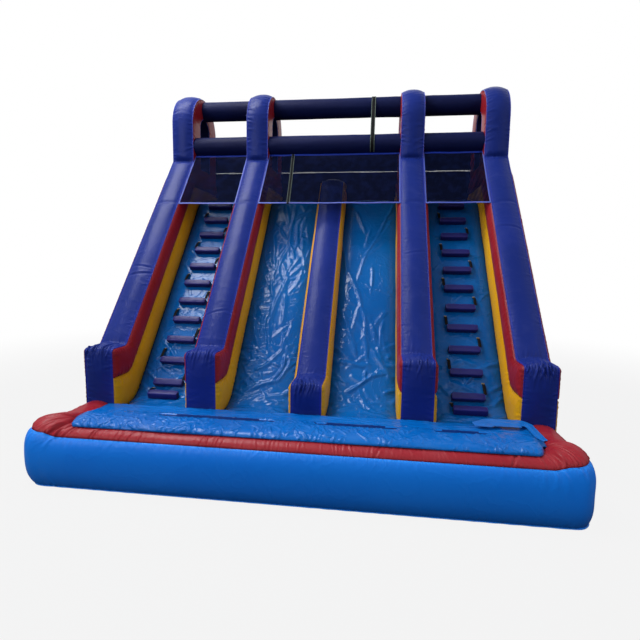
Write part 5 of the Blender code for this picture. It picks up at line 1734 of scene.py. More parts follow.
@dataclass
class LandingPool:
    """The U-shaped pool wall, the rim tube on it and the hem strip on the ground round it."""

    side_x: float = 3.03
    front_y: float = -0.95
    outer_radius: float = 0.22
    inner_radius: float = 0.03
    width: float = 0.38
    height: float = 0.62
    bulge: float = 0.066
    rim_height: float = 0.1
    corner_rise: float = 0.075
    rise_run: float = 0.34
    rise_margin: float = 0.045
    front_share: float = 0.6
    side_count: int = 84
    corner_count: int = 34
    front_count: int = 290
    left_pull: float = 0.065
    right_pull: float = -0.065
    corner_reach: float = 0.34
    rim_creases: tuple[tuple[float, float, float], ...] = ((-2.8, 0.03, 0.022), (-2.62, 0.014, 0.014),
                                                           (2.45, 0.014, 0.014), (1.02, 0.01, 0.012))
    seed: int = 71

    def line(self, out: float) -> Array:
        """Return a line round the pool at a distance outward from the wall's middle.

        Args:
            out: Metres outward from the middle line.

        Returns:
            Rows of x, y and the share of the corners' rise.
        """
        half = self.width / 2
        radius = self.inner_radius + (self.outer_radius - self.inner_radius) * np.clip(
            (out + half) / self.width, 0, 1)
        side_x = self.side_x + out
        arc_x, arc_y = side_x - radius, self.front_y - out + radius
        side = np.linspace(-CLEARANCE, arc_y, self.side_count)
        rise = eased(-side, -(arc_y + self.rise_run), -arc_y)
        right = [np.column_stack([np.full(len(side), side_x), side, rise])]
        turns = np.linspace(0, 1, self.corner_count)[1:]
        right.append(np.column_stack([arc_x + radius * np.cos(turns * math.pi / 2),
                                      arc_y - radius * np.sin(turns * math.pi / 2),
                                      1 - turns * (1 - self.front_share)]))
        inner = self.side_x - half - self.rise_margin
        front = np.linspace(arc_x, 0.0, self.front_count)[1:]
        fall = self.front_share * (1 - eased(arc_x - front, 0.0, max(arc_x - inner, 0.02)))
        right.append(np.column_stack([front, np.full(len(front), self.front_y - out), fall]))
        half_line = np.vstack(right)
        return np.vstack([half_line[:-1] * np.array((-1.0, 1.0, 1.0)), half_line[::-1]])

    def swept(self, outline: Array) -> Array:
        """Sweep an outline of outward and upward places round the pool.

        Args:
            outline: Rows of outward and upward places.

        Returns:
            The points by station and place round the outline.
        """
        rows = []
        for out, up in outline:
            line = self.line(out)
            lift = up + line[:, 2] * self.corner_rise * min(max(up, 0.0) / self.height, 1.0)
            rows.append(np.column_stack([line[:, :2], lift]))
        return np.array(rows).transpose(1, 0, 2)

    def corner_weight(self, rows: Array) -> Array:
        """Return how close each point is to one of the pool's two corners, 0 to 1."""
        away = np.hypot(np.abs(rows[..., 0]) - self.side_x, rows[..., 1] - self.front_y)
        return np.exp(-(away / self.corner_reach) ** 2)

    def pulled(self, rows: Array, share: Array | float) -> None:
        """Pull the two outer corners outward, as air pressure does, by a share of the full pull."""
        weight = self.corner_weight(rows) * share
        rows[..., 0] += np.where(rows[..., 0] < 0, -self.left_pull, self.right_pull) * weight

    def build(self) -> None:
        """Make the pool wall, its rim and its hem strip."""
        half = self.width / 2
        shares = np.linspace(0, 1, 35)
        full = self.bulge * (1 - np.abs(2 * shares - 1) ** 3.4) ** 0.8
        outer = np.column_stack([half + full, self.height * shares])
        outline = np.vstack([[(-half, self.height), (-half, 0.0)], outer])
        base = self.swept(outline)
        rows = base.copy()
        station = lengths_along(base[:, -1, :2])
        outward = -left_normals(base[:, -1, :2])
        weight = self.corner_weight(base)[:, 2:]
        up = np.tile(shares * self.height, (len(station), 1))
        along = np.tile(station[:, None], (1, len(shares)))
        inside = np.sin(math.pi * shares) > 0.02
        lift = 0.006 * noise_over(self.seed, along * 1.3, up * 2.0) * np.sin(math.pi * shares)
        top, foot = self.height - up, up
        tucks = ((top, 1.0, (0.11, 0.014, 0.0045, 0.06)),
                 (foot, 1.0, (0.13, 0.018, 0.006, 0.05)),
                 (top, weight, (0.075, 0.014, 0.022, 0.11, 0.3)),
                 (foot, weight, (0.1, 0.018, 0.026, 0.09, 0.4)))
        for number, (gap, strength, sizes) in enumerate(tucks, 1):
            lift += PleatRow(self.seed + number, *sizes).height(along, gap) * strength
        edge = 1 - np.exp(-np.minimum(top, foot) / 0.012)
        rows[:, 2:, :2] += outward[:, None] * (lift * edge * inside)[..., None]
        self.pulled(rows[:, 2:], np.where(shares < 0.5, np.sin(math.pi * shares) ** 0.5,
                                          0.5 + 0.5 * np.sin(math.pi * shares)))
        gaps = np.tile(np.minimum(outline[:, 1], self.height - outline[:, 1]) + 0.004, (len(rows), 1))
        gaps[:, :2] = 1.0
        places = np.tile(station[:, None], (1, rows.shape[1]))
        skin = Skin()
        skin.tube(rows, 0, gaps, places)
        place_piece(skin.build("pool_wall_skin", [POOL]), Slot.LIGHT_BLUE, "pool_wall")
        self.build_rim()
        self.build_hem()

    def build_rim(self) -> None:
        """Make the rim tube with its pleats."""
        half = self.width / 2
        base = self.height + CLEARANCE
        turns = np.linspace(math.pi, 0, 27)
        outline = np.column_stack([half * np.cos(turns), base + self.rim_height * np.sin(turns)])
        rows = self.swept(outline)
        plain = rows.copy()
        line = plain[:, -1, :2]
        station = lengths_along(line)
        outward = -left_normals(line)
        weight = self.corner_weight(plain)
        outer_gap = np.tile(turns * 0.15, (len(station), 1))
        inner_gap = np.tile((math.pi - turns) * 0.15, (len(station), 1))
        along = np.tile(station[:, None], (1, len(turns)))
        bursts = eased(noise(station[:, None] * 2.6, self.seed + 6), -0.15, 0.45)[:, None]
        lift = np.zeros_like(along)
        tucks = ((5, outer_gap, 0.25 + 0.75 * bursts, (0.052, 0.0085, 0.015, 0.3, 0.28)),
                 (7, inner_gap, 1.0, (0.12, 0.014, 0.006, 0.12, 0.4)),
                 (8, outer_gap, weight, (0.055, 0.011, 0.034, 0.18, 0.2)),
                 (9, inner_gap, weight, (0.05, 0.012, 0.02, 0.16, 0.3)))
        for number, gap, strength, sizes in tucks:
            lift += PleatRow(self.seed + number, *sizes).height(along, gap) * strength
        lift += 0.006 * noise_over(self.seed + 10, along * 1.8, outer_gap * 4.0)
        for place, depth, width in self.rim_creases:
            away = (plain[..., 0] - place - 0.35 * (outer_gap - 0.24)) / width
            front = plain[..., 1] < self.front_y + half + 0.02
            lift -= depth * (np.exp(-away ** 2) - 0.4 * np.exp(-(np.abs(away) - 2.0) ** 2)) * front
        edge = 1 - np.exp(-np.minimum(outer_gap, inner_gap) / 0.02)
        lift *= edge
        spread, rise = np.cos(turns), np.sin(turns)
        rows[..., :2] += outward[:, None] * (lift * spread)[..., None]
        rows[..., 2] += lift * rise
        rows[:, 1:-1, 2] = np.maximum(rows[:, 1:-1, 2], base + 0.001)
        self.pulled(rows, 0.25 + 0.25 * np.cos(turns))
        gaps = np.minimum(outer_gap, inner_gap) + 0.004
        skin = Skin()
        skin.tube(rows, 0, gaps, along)
        place_piece(skin.build("pool_rim_tube", [RED]), Slot.RED, "pool_rim")

    def build_hem(self) -> None:
        """Make the narrow hem strip that lies on the ground round the pool wall."""
        half = self.width / 2
        section = ((half - 0.01, 0.012), (half + 0.006, 0.01), (half + 0.018, 0.006), (half + 0.02, 0.002),
                   (half - 0.01, 0.002))
        rows = []
        for out, up in section:
            line = self.line(out)
            wave = 0.003 * ripple(lengths_along(line[:, :2]), 0.21, self.seed + 12) * (out > half)
            rows.append(np.column_stack([line[:, :2] - left_normals(line[:, :2]) * wave[:, None],
                                         np.full(len(line), up)]))
        grid = np.array(rows).transpose(1, 0, 2)
        skin = Skin()
        skin.tube(grid, 0, np.full(grid.shape[:2], 0.01))
        place_piece(skin.build("pool_ground_hem", [POOL_HEM]), Slot.LIGHT_BLUE)


@dataclass
class LandingMattress:
    """The mattress in the pool with its wrinkled front roll, and the loose flap at its right end."""

    pool: LandingPool
    back_height: float = 0.66
    top: float = 0.7
    crown_share: float = 0.12
    groove_y: float = -0.46
    groove_width: float = 0.02
    groove_depth: float = 0.03
    roll_front: float = -1.04
    roll_height: float = 0.08
    roll_end_height: float = 0.02
    roll_margin: float = 0.065
    corner_radius: float = 0.12
    stations: int = 640
    slits: tuple[tuple[float, float], ...] = ((-1.78, -0.26), (0.2, 1.2), (1.62, 2.22))
    slit_reach: float = 0.25
    slit_width: float = 0.025
    slit_depth: float = 0.03
    lip_rise: float = 0.017
    lip_place: float = 0.046
    long_lines: tuple[tuple[float, float, float], ...] = ((0.06, -2.1, 0.4), (0.17, -2.4, -0.3),
                                                          (0.1, 0.2, 1.7))
    roll_folds: int = 430
    flat_folds: int = 100
    roll_kind: FoldKind = FoldKind((0.06, 0.26), (0.007, 0.019), (0.01, 0.016), 0.22, (0.15, 1.25), spread=0.9)
    flat_kind: FoldKind = FoldKind((0.25, 0.9), (0.004, 0.011), (0.014, 0.026), 0.1, branches=1, spread=0.4)
    roll_span: tuple[float, float] = (-2.7, 2.62)
    flat_span: tuple[float, float] = (-2.75, 2.5)
    sparse_from: float = 0.6
    sparse_share: float = 0.35
    end_folds: int = 9
    slow_lift: float = 0.006
    flap_length: float = 0.74
    flap_run: float = 0.62
    flap_width: float = 0.19
    flap_end_width: float = 0.094
    flap_rise: float = 0.032
    seed: int = 131

    def build(self) -> None:
        """Make the mattress."""
        pool = self.pool
        half = pool.side_x - pool.width / 2 - CLEARANCE
        rim_top = pool.height + pool.rim_height + 2 * CLEARANCE
        roll_end = half - self.roll_margin
        inner_front = pool.front_y + pool.width / 2 + CLEARANCE
        deepest = inner_front - self.roll_front
        inner = np.linspace(-(roll_end - self.corner_radius), roll_end - self.corner_radius, self.stations)
        angles = np.linspace(0, math.pi / 2, 18)[1:]
        turn = roll_end - self.corner_radius * (1 - np.sin(angles))
        xs = np.concatenate([[-half], -turn[::-1], inner, turn, [half]])
        curl = 1 - np.cos(angles)
        bend = np.concatenate([[1.0], curl[::-1], np.zeros(len(inner)), curl, [1.0]])
        height = self.roll_height - (self.roll_height - self.roll_end_height) * bend
        front = self.roll_front + deepest * bend
        groove_back = self.groove_y + self.groove_width / 2
        groove_front = self.groove_y - self.groove_width / 2
        sections = []
        flat_shares = np.linspace(0, 1, 34)
        roll_turns = np.linspace(0, math.pi, 56)
        for number, x in enumerate(xs):
            corner = max(abs(x) - half + self.corner_radius, 0.0) / self.corner_radius
            body_front = inner_front + self.corner_radius * (1 - math.sqrt(max(1 - corner * corner, 0.0)))
            ys = -CLEARANCE + (groove_back + CLEARANCE) * flat_shares
            rise = np.interp(flat_shares, (0.0, self.crown_share, 1.0), (0.0, 1.0, 1.0))
            zs = self.back_height + (self.top - self.back_height) * np.sin(rise * math.pi / 2)
            slit = any(low < x < high for low, high in self.slits)
            dip = self.groove_depth * (1.0 if slit else 0.35)
            middle, reach = (groove_front + front[number]) / 2, (groove_front - front[number]) / 2
            roll_y = middle + reach * np.cos(roll_turns)
            roll_z = rim_top + height[number] * np.sin(roll_turns) ** 0.8
            loop = np.vstack([
                [(-CLEARANCE, 0.0)], np.column_stack([ys, zs]), [(self.groove_y, self.top - dip)],
                np.column_stack([roll_y, roll_z]), [(body_front, rim_top), (body_front, 0.0)]])
            sections.append(np.column_stack([np.full(len(loop), x), loop]))
        rows = np.array(sections)
        # The faces in the slits take the dark slit colour, painted shade.
        dark = self.slit_faces(rows, len(flat_shares) + 1)
        self.wrinkle(rows, half, bend, len(flat_shares) + 1, len(roll_turns))
        skin = Skin()
        skin.grid(rows, 0, np.full(rows.shape[:2], 1.0), close_columns=True)
        skin.slots = dark.ravel().astype(int).tolist()
        skin.cap(rows[0])
        skin.cap(rows[-1])
        made = place_piece(skin.build("mattress_cover", [MAT, SLIT_SHADE]), Slot.LIGHT_BLUE, "landing_mattress")

    def slit_faces(self, rows: Array, flat_count: int) -> Array:
        """Find the grid's faces that lie in a slit, which take painted shade.

        Args:
            rows: The mattress's points by station and place round the section.
            flat_count: How many points of a section come before the groove.

        Returns:
            True for each face in a slit.
        """
        along = lengths_along(rows[len(rows) // 2, :, 1:])
        turn = np.abs(along - along[flat_count] - self.slit_reach + 0.02)
        dark = np.zeros(rows.shape[:2], dtype=bool)
        for low, high in self.slits:
            share = np.clip((rows[:, 0, 0] - low) / (high - low), 0.0, 1.0)
            dark |= turn[None] < self.slit_width * np.sin(math.pi * share)[:, None] ** 0.4 - 0.002
        return dark[:-1]

    def wrinkle(self, rows: Array, half: float, bend: Array, flat_count: int, roll_count: int) -> None:
        """Raise the mattress's folds in place.

        Args:
            rows: The mattress's points by station and place round the section.
            half: Half its width.
            bend: How far each station is into the rounded ends, 0 to 1.
            flat_count: How many points of a section come before the groove.
            roll_count: How many points the roll has.
        """
        middle = rows[len(rows) // 2, :, 1:]
        along = lengths_along(middle)
        field = FoldField(rows[:, 0, 0], along, self.seed)
        draw = field.draw
        groove, front = along[flat_count], along[flat_count + roll_count]
        for _ in range(self.roll_folds):
            x = draw.uniform(*self.roll_span)
            if x > self.sparse_from and draw.uniform() < self.sparse_share:
                continue
            start = np.array((x, groove + (front - groove) * draw.beta(1.4, 1.1)))
            field.strewn(self.roll_kind, start)
        for _ in range(self.flat_folds):
            start = np.array((draw.uniform(*self.flat_span), draw.uniform(along[2] + 0.03, groove - 0.03)))
            field.branching(self.flat_kind, start, math.pi / 2 + draw.normal(0, 0.22))
        for back, low, high in self.long_lines:
            places = np.linspace(low, high, 60)
            wander = 0.012 * noise(places[:, None] * 1.7, self.seed + 9)
            field.raise_fold(np.column_stack([places, groove - back + wander]), 0.009, 0.013)
        for end in (-1, 1):
            for turn in np.linspace(-1.2, 1.2, self.end_folds):
                start = np.array((end * (half - 0.09), groove + 0.55 * (front - groove)))
                field.raise_fold(field.path(start, -end * (math.pi / 2 + turn * 0.5), 0.3, 0.06), 0.012, 0.012)
        slow = noise_over(self.seed + 1, *np.meshgrid(rows[:, 0, 0] * 1.6, along * 2.6))
        lift = (field.height + self.slow_lift * slow).T
        turn = along - groove - self.slit_reach
        cut = np.zeros(len(rows))
        across = rows[:, 0, 0]
        for low, high in self.slits:
            cut = np.maximum(cut, eased(across, low, low + 0.05) * (1 - eased(across, high - 0.05, high)))
        lift *= 1 - 0.85 * cut[:, None] * np.exp(-((turn + 0.01) / 0.06) ** 2)
        trough = self.slit_depth * np.exp(-(turn / 0.016) ** 2)
        lip = self.lip_rise * np.exp(-((turn + self.lip_place) / 0.018) ** 2)
        lift -= cut[:, None] * (trough - lip)
        lift[:, :2] = 0.0
        lift[:, flat_count:flat_count + 2] *= 0.3
        lift[:, flat_count + roll_count - 1:] = 0.0
        lift *= eased(along, along[1], along[1] + 0.06) * eased(half - np.abs(rows[:, :1, 0]), 0.0, 0.05)
        on_roll = np.arange(rows.shape[1]) > flat_count
        lift *= np.where(on_roll, 1 - 0.75 * bend[:, None], 1.0)
        lift *= np.where(on_roll, 1 - eased(along, front - 0.04, front), 1.0)
        rows[..., 1:] -= left_normals(middle)[None] * lift[..., None]

    def flap(self) -> bpy.types.Object:
        """Make the loose sheet that lies over the mattress's right end, its outer edge raised.

        Returns:
            The piece.
        """
        low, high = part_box("corner_flap")
        base = low.z
        back, side = high.y - FRONT_Y, high.x
        start = side - self.flap_length
        outer = resampled(rounded_path([(start, back - 0.17, 0), (start + 0.2, back, 0.14),
                                        (side, back, 0.14), (side, back - self.flap_run, 0)]), 0.016)
        inward = left_normals(outer)
        inward = inward * np.sign((np.array((side - 0.3, back - 0.3)) - outer[len(outer) // 2])
                                  @ inward[len(outer) // 2])
        along = lengths_along(outer)
        turned = np.clip((along - (self.flap_length - 0.1)) / 0.25, 0, 1)
        width = self.flap_width + (self.flap_end_width - self.flap_width) * turned
        tip = np.minimum(along / 0.12, (along[-1] - along) / 0.12)
        width = 0.05 + (width - 0.05) * np.clip(tip, 0, 1)
        shares = np.linspace(0, 1, 14)
        top = np.zeros((len(outer), len(shares), 3))
        rise = self.flap_rise * (1 - turned * 0.6)
        for column, share in enumerate(shares):
            spot = outer + inward * (width * share)[:, None]
            fold = 0.009 * math.exp(-((share - 0.5) / 0.16) ** 2)
            lift = 0.004 + rise * (1 - share) ** 2.2 + fold * (1 + 0.3 * noise(along[:, None] * 4.0, 37))
            lift = lift + 0.003 * ripple(along, 0.16, 41) * (1 - share) ** 2
            top[:, column] = np.column_stack([spot, base + np.maximum(lift, 0.003)])
        under = top - np.array((0.0, 0.0, 0.0025))
        skin = Skin()
        skin.grid(top, 0)
        skin.grid(under, 0)
        for upper, lower in ((top[0], under[0]), (top[-1], under[-1]), (top[:, 0], under[:, 0]),
                             (top[:, -1], under[:, -1])):
            skin.grid(np.stack([upper, lower]), 0)
        made = place_piece(skin.build("loose_corner_flap", [FLAP]), Slot.LIGHT_BLUE, "corner_flap")
        return made


@dataclass
class Beam:
    """A round beam between two walls."""

    name: str
    node: str
    seed: int
    radius: float = 0.19
    gather: float = 0.006

    def build(self) -> bpy.types.Object:
        """Make the beam with gathered ends and a few long wrinkles.

        Returns:
            The piece.
        """
        low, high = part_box(self.node)
        centre = np.array(((low.y + high.y) / 2 - FRONT_Y, (low.z + high.z) / 2))
        half = (high.x - low.x) / 2
        angles = np.linspace(0, 2 * math.pi, 41)[:-1]
        xs = np.linspace(-half, half, max(20, round(2 * half / 0.022)))
        grid_x, grid_a = np.meshgrid(xs, angles, indexing="ij")
        end = half - np.abs(grid_x)
        soft = noise_over(self.seed, grid_x * 1.6, np.cos(grid_a) * 1.5, np.sin(grid_a) * 1.5)
        fine = noise_over(self.seed + 1, grid_x * 1.2, np.cos(grid_a) * 4.5, np.sin(grid_a) * 4.5)
        long_folds = (1 - np.abs(fine)) ** 5
        row = PleatRow(self.seed + 2, pitch=0.06, width=0.011, depth=self.gather, reach=0.07)
        tucks = row.height(grid_a * self.radius + 5.0, end)
        radius = self.radius * 0.985 + 0.004 * soft + 0.004 * (long_folds - 0.4) + tucks
        radius = np.minimum(radius, self.radius + 0.004)
        rows = np.stack([grid_x, centre[0] + radius * np.cos(grid_a),
                         centre[1] + radius * np.sin(grid_a)], axis=-1)
        seam = np.abs((grid_a - 2.2 + math.pi) % (2 * math.pi) - math.pi) * self.radius
        skin = Skin()
        skin.tube(rows, 0, np.minimum(seam, end + 0.01))
        made = skin.build(self.name, [DEEP_NAVY], middle_x(self.node))
        return place_piece(made, Slot.NAVY, self.node)


@dataclass
class SafetyNet:
    """A net in the plane of the slope, hemmed on all sides, from its lower hem up to the lower beam."""

    bay: str
    profile: Profile
    seed: int
    hem_width: float = 0.034
    side_hem_width: float = 0.026
    band_width: float = 0.05
    sag: float = 0.02
    sleeve: tuple[float, float] | None = None
    sleeve_width: float = 0.05

    @cached_property
    def box(self) -> tuple[Vector, Vector]:
        """Return the corners of the net's node."""
        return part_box(f"net_{self.bay}")

    @property
    def half(self) -> float:
        """Return half the net's width."""
        return (self.box[1].x - self.box[0].x) / 2

    @property
    def length(self) -> float:
        """Return the net's length up the slope."""
        return (self.box[1].z - self.box[0].z - 0.01) / math.sin(self.profile.slope_angle)

    @property
    def uphill(self) -> Array:
        """Return the unit direction up the slope."""
        return np.array((0.0, math.cos(self.profile.slope_angle), math.sin(self.profile.slope_angle)))

    @property
    def off(self) -> Array:
        """Return the unit direction off the net, towards the camera's side."""
        return np.array((0.0, -math.sin(self.profile.slope_angle), math.cos(self.profile.slope_angle)))

    def spots(self, x: Array, run: Array) -> Array:
        """Return the net's points at places across it and up it.

        Args:
            x: Metres across from the net's middle.
            run: Metres up the net.

        Returns:
            The points, in the same grid.
        """
        sag = -self.sag * (1 - (x / self.half) ** 2) * np.sin(math.pi * run / self.length)
        sag = sag + 0.005 * noise_over(self.seed, x * 3, run * 3)
        start = np.array((0.0, self.box[0].y - FRONT_Y + 0.008, self.box[0].z + 0.006))
        return (start + x[..., None] * np.array((1.0, 0.0, 0.0)) + run[..., None] * self.uphill
                + sag[..., None] * self.off)

    def build(self) -> None:
        """Make the net, its hems and, where it has one, its stitched sleeve."""
        half, length = self.half, self.length
        xs = np.linspace(-half, half, round(2 * half / 0.03))
        runs = np.linspace(0.0, length, round(length / 0.03))
        grid_x, grid_s = np.meshgrid(xs, runs, indexing="ij")
        skin = Skin()
        skin.grid(self.spots(grid_x, grid_s), 0, uv=np.stack([grid_x + half, grid_s], axis=-1))
        net = skin.build(f"{self.bay}_net_cloth", [NET], self.centre_x)
        place_piece(net, Slot.NET, f"net_{self.bay}")
        across = np.array((1.0, 0.0, 0.0))
        side_x = half - self.side_hem_width / 2
        hems = [self.ribbon(part, self.spots(xs, np.full(len(xs), run)), self.uphill, width, finish, Slot.NET)
                for part, run, width, finish in (
                    ("lower_hem", self.hem_width / 2, self.hem_width, NET_HEM),
                    ("upper_band", length - self.band_width / 2, self.band_width, NET_BAND))]
        hems += [self.ribbon(f"{side}_hem", self.spots(np.full(len(runs), x), runs), across,
                             self.side_hem_width, NET_HEM, Slot.NET)
                 for side, x in (("left", -side_x), ("right", side_x))]
        if self.sleeve is not None:
            line = self.spots(np.linspace(*self.sleeve, len(runs)), runs)
            hems.append(self.ribbon("sleeve", line, across, self.sleeve_width, STRAP, Slot.WEBBING, 0.006))
            for side in (-1, 1):
                edge = line + across * side * self.sleeve_width / 2
                name = f"sleeve_{'left' if side < 0 else 'right'}_edge"
                hems.append(self.ribbon(name, edge, across, 0.009, STRAP_EDGE, Slot.WEBBING, 0.008))

    @property
    def centre_x(self) -> float:
        """Return the bay's middle."""
        return middle_x(f"net_{self.bay}")

    def ribbon(self, part: str, line: Array, across: Array, width: float, finish: Finish, slot: Slot,
               thickness: float = 0.0045) -> bpy.types.Object:
        """Make a folded strip sewn on the net.

        Args:
            part: What it is, for its name.
            line: Its middle line.
            across: The unit direction of its width.
            width: Its width.
            finish: Its finish.
            slot: Its material slot.
            thickness: Half its thickness.

        Returns:
            The strip's piece.
        """
        pucker = 0.002 * ripple(lengths_along(line), 0.07, self.seed + len(part))
        grid = np.stack([line + across * math.cos(turn) * width / 2
                         + self.off * (thickness * math.sin(turn) + pucker)[:, None]
                         for turn in np.linspace(0, 2 * math.pi, 11)[:-1]], axis=1)
        skin = Skin()
        skin.tube(grid)
        return place_piece(skin.build(f"{self.bay}_net_{part}", [finish], self.centre_x), slot)


@dataclass
class BeamSleeve:
    """The stitched sleeve over the upper beam and down over the lower one."""

    thickness: float = 0.004
    edge_share: float = 0.72
    edge_bulk: float = 1.8

    def build(self) -> bpy.types.Object:
        """Make the sleeve as a strip that follows the beams, with a light bound edge on both sides.

        Returns:
            The piece.
        """
        low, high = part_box("beam_sleeve")
        top, lower = self.middle_of("top_beam_middle"), self.middle_of("lower_beam_middle")
        beam_low, beam_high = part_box("top_beam_middle")
        radius = (beam_high.y - beam_low.y) / 2
        away = lower - top
        touch = math.atan2(-away[0], away[1])
        reach = radius + 0.004
        turns_top = np.linspace(touch + math.copysign(2.1, math.cos(touch)), touch, 16)
        turns_low = np.linspace(touch, touch + 1.45, 14)
        path = np.vstack([top + reach * np.column_stack([np.cos(turns_top), np.sin(turns_top)]),
                          lower + reach * np.column_stack([np.cos(turns_low), np.sin(turns_low)])])
        path = resampled(path, 0.02)
        normal = left_normals(path)
        if (path[0] - top) @ normal[0] < 0:
            normal = -normal
        half = (high.x - low.x) / 2
        skin = Skin()
        stretches = ((-self.edge_share, self.edge_share, 1.0), (-1.0, -self.edge_share, self.edge_bulk),
                     (self.edge_share, 1.0, self.edge_bulk))
        for number, (first, last, thick) in enumerate(stretches):
            shares = np.linspace(first, last, 5)
            upper = [np.column_stack([np.full(len(path), share * half), path + normal * self.thickness * thick])
                     for share in shares]
            under = [np.column_stack([np.full(len(path), share * half), path]) for share in shares[::-1]]
            grid = np.array(upper + under).transpose(1, 0, 2) - np.array((0.0, FRONT_Y, 0.0))
            skin.tube(grid, min(number, 1))
        made = skin.build("stitched_beam_sleeve", [STRAP, STRAP_EDGE], middle_x("beam_sleeve"))
        return place_piece(made, Slot.WEBBING, "beam_sleeve")

    @staticmethod
    def middle_of(name: str) -> Array:
        """Return the (y, z) middle of a beam."""
        low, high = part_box(name)
        return np.array(((low.y + high.y) / 2, (low.z + high.z) / 2))


@dataclass
class RearWall:
    """The rear wall with its upright baffles and the inflation sleeve."""

    baffles: int = 10
    bulge: float = 0.08
    thickness: float = 0.29
    top_radius: float = 0.12
    seed: int = 211

    def build(self) -> None:
        """Make the rear wall."""
        low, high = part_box("rear_wall")
        half = (high.x - low.x) / 2
        height = high.z
        pitch = 2 * half / self.baffles
        front = low.y - FRONT_Y
        xs = np.linspace(-half, half, self.baffles * 24 + 1)
        shoulder = height - self.top_radius
        over = self.top_radius * np.sin(np.linspace(0, math.pi / 2, 9)[1:])
        zs = np.concatenate([np.linspace(0.0, shoulder, 150), shoulder + over])
        grid_x, grid_z = np.meshgrid(xs, zs, indexing="ij")
        share = ((grid_x + half) / pitch) % 1.0
        round_share = (np.abs(np.sin(math.pi * share))) ** 0.75
        over = np.clip(grid_z - (height - self.top_radius), 0, None)
        inset = self.top_radius - np.sqrt(np.maximum(self.top_radius ** 2 - over ** 2, 0.0))
        seam_gap = np.minimum(share, 1 - share) * pitch
        number = np.floor((grid_x + half) / pitch)
        row = PleatRow(self.seed, pitch=0.085, width=0.015, depth=0.011, reach=0.09)
        pleat = row.height(grid_z + 9.0 * number, seam_gap) * (1 - np.exp(-seam_gap / 0.01))
        soft = 0.006 * noise_over(self.seed + 1, grid_x * 2.5, grid_z * 1.5)
        depth = self.thickness + (self.bulge - 0.006) * round_share - inset + pleat + soft * round_share
        depth = np.clip(depth, 0.02, self.thickness + self.bulge + 0.005)
        back = np.stack([grid_x, front + depth, grid_z], axis=-1)
        face = back.copy()
        face[..., 1] = front
        skin = Skin()
        skin.grid(back, 0, seam_gap + 0.004, along=grid_z + 9.0 * number)
        # The front face, behind the nets, takes the deep navy finish: painted shade.
        skin.grid(face[::6, ::6], 1)
        for outer_row, inner_row in ((back[0], face[0]), (back[-1], face[-1]), (back[:, 0], face[:, 0]),
                                     (back[:, -1], face[:, -1])):
            skin.grid(np.stack([outer_row, inner_row]), 0)
        place_piece(skin.build("rear_wall_skin", [NAVY, DEEP_NAVY]), Slot.NAVY, "rear_wall")
        self.inflation_sleeve()

    def inflation_sleeve(self) -> None:
        """Make the slack fabric tube that the blower's air comes in through."""
        low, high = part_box("inflation_sleeve")
        centre_x, radius = (low.x + high.x) / 2, (high.x - low.x) / 2
        start, length = low.y - FRONT_Y, high.y - low.y
        angles = np.linspace(0, 2 * math.pi, 49)[:-1]
        runs = np.linspace(0, length, 46)
        grid_s, grid_a = np.meshgrid(runs, angles, indexing="ij")
        soft = noise_over(self.seed + 3, grid_s * 5.0, np.cos(grid_a) * 2.0, np.sin(grid_a) * 2.0)
        folds = (1 - np.abs(soft)) ** 4
        size = radius * 0.975 - 0.012 * folds * eased(grid_s, 0.02, 0.15)
        gather = 0.004 * np.sin(grid_a * 15) * np.exp(-grid_s / 0.05)
        size = size + gather
        middle = np.array((0.0, (low.z + high.z) / 2))
        outer = np.stack([size * np.cos(grid_a), start + grid_s, middle[1] + size * np.sin(grid_a)], axis=-1)
        outer[..., 2] = np.maximum(outer[..., 2], 0.002)
        inner = outer.copy()
        inner[..., 0] *= 0.985
        inner[..., 2] = middle[1] + (outer[..., 2] - middle[1]) * 0.985
        skin = Skin()
        skin.grid(outer, 0, np.minimum(grid_s, length - grid_s) + 0.005, close_columns=True)
        skin.grid(inner, 0, close_columns=True)
        for row in (0, -1):
            skin.grid(np.stack([outer[row], inner[row]]), 0, close_columns=True)
        made = skin.build("inflation_sleeve_cloth", [NAVY], centre_x)
        place_piece(made, Slot.NAVY, "inflation_sleeve")


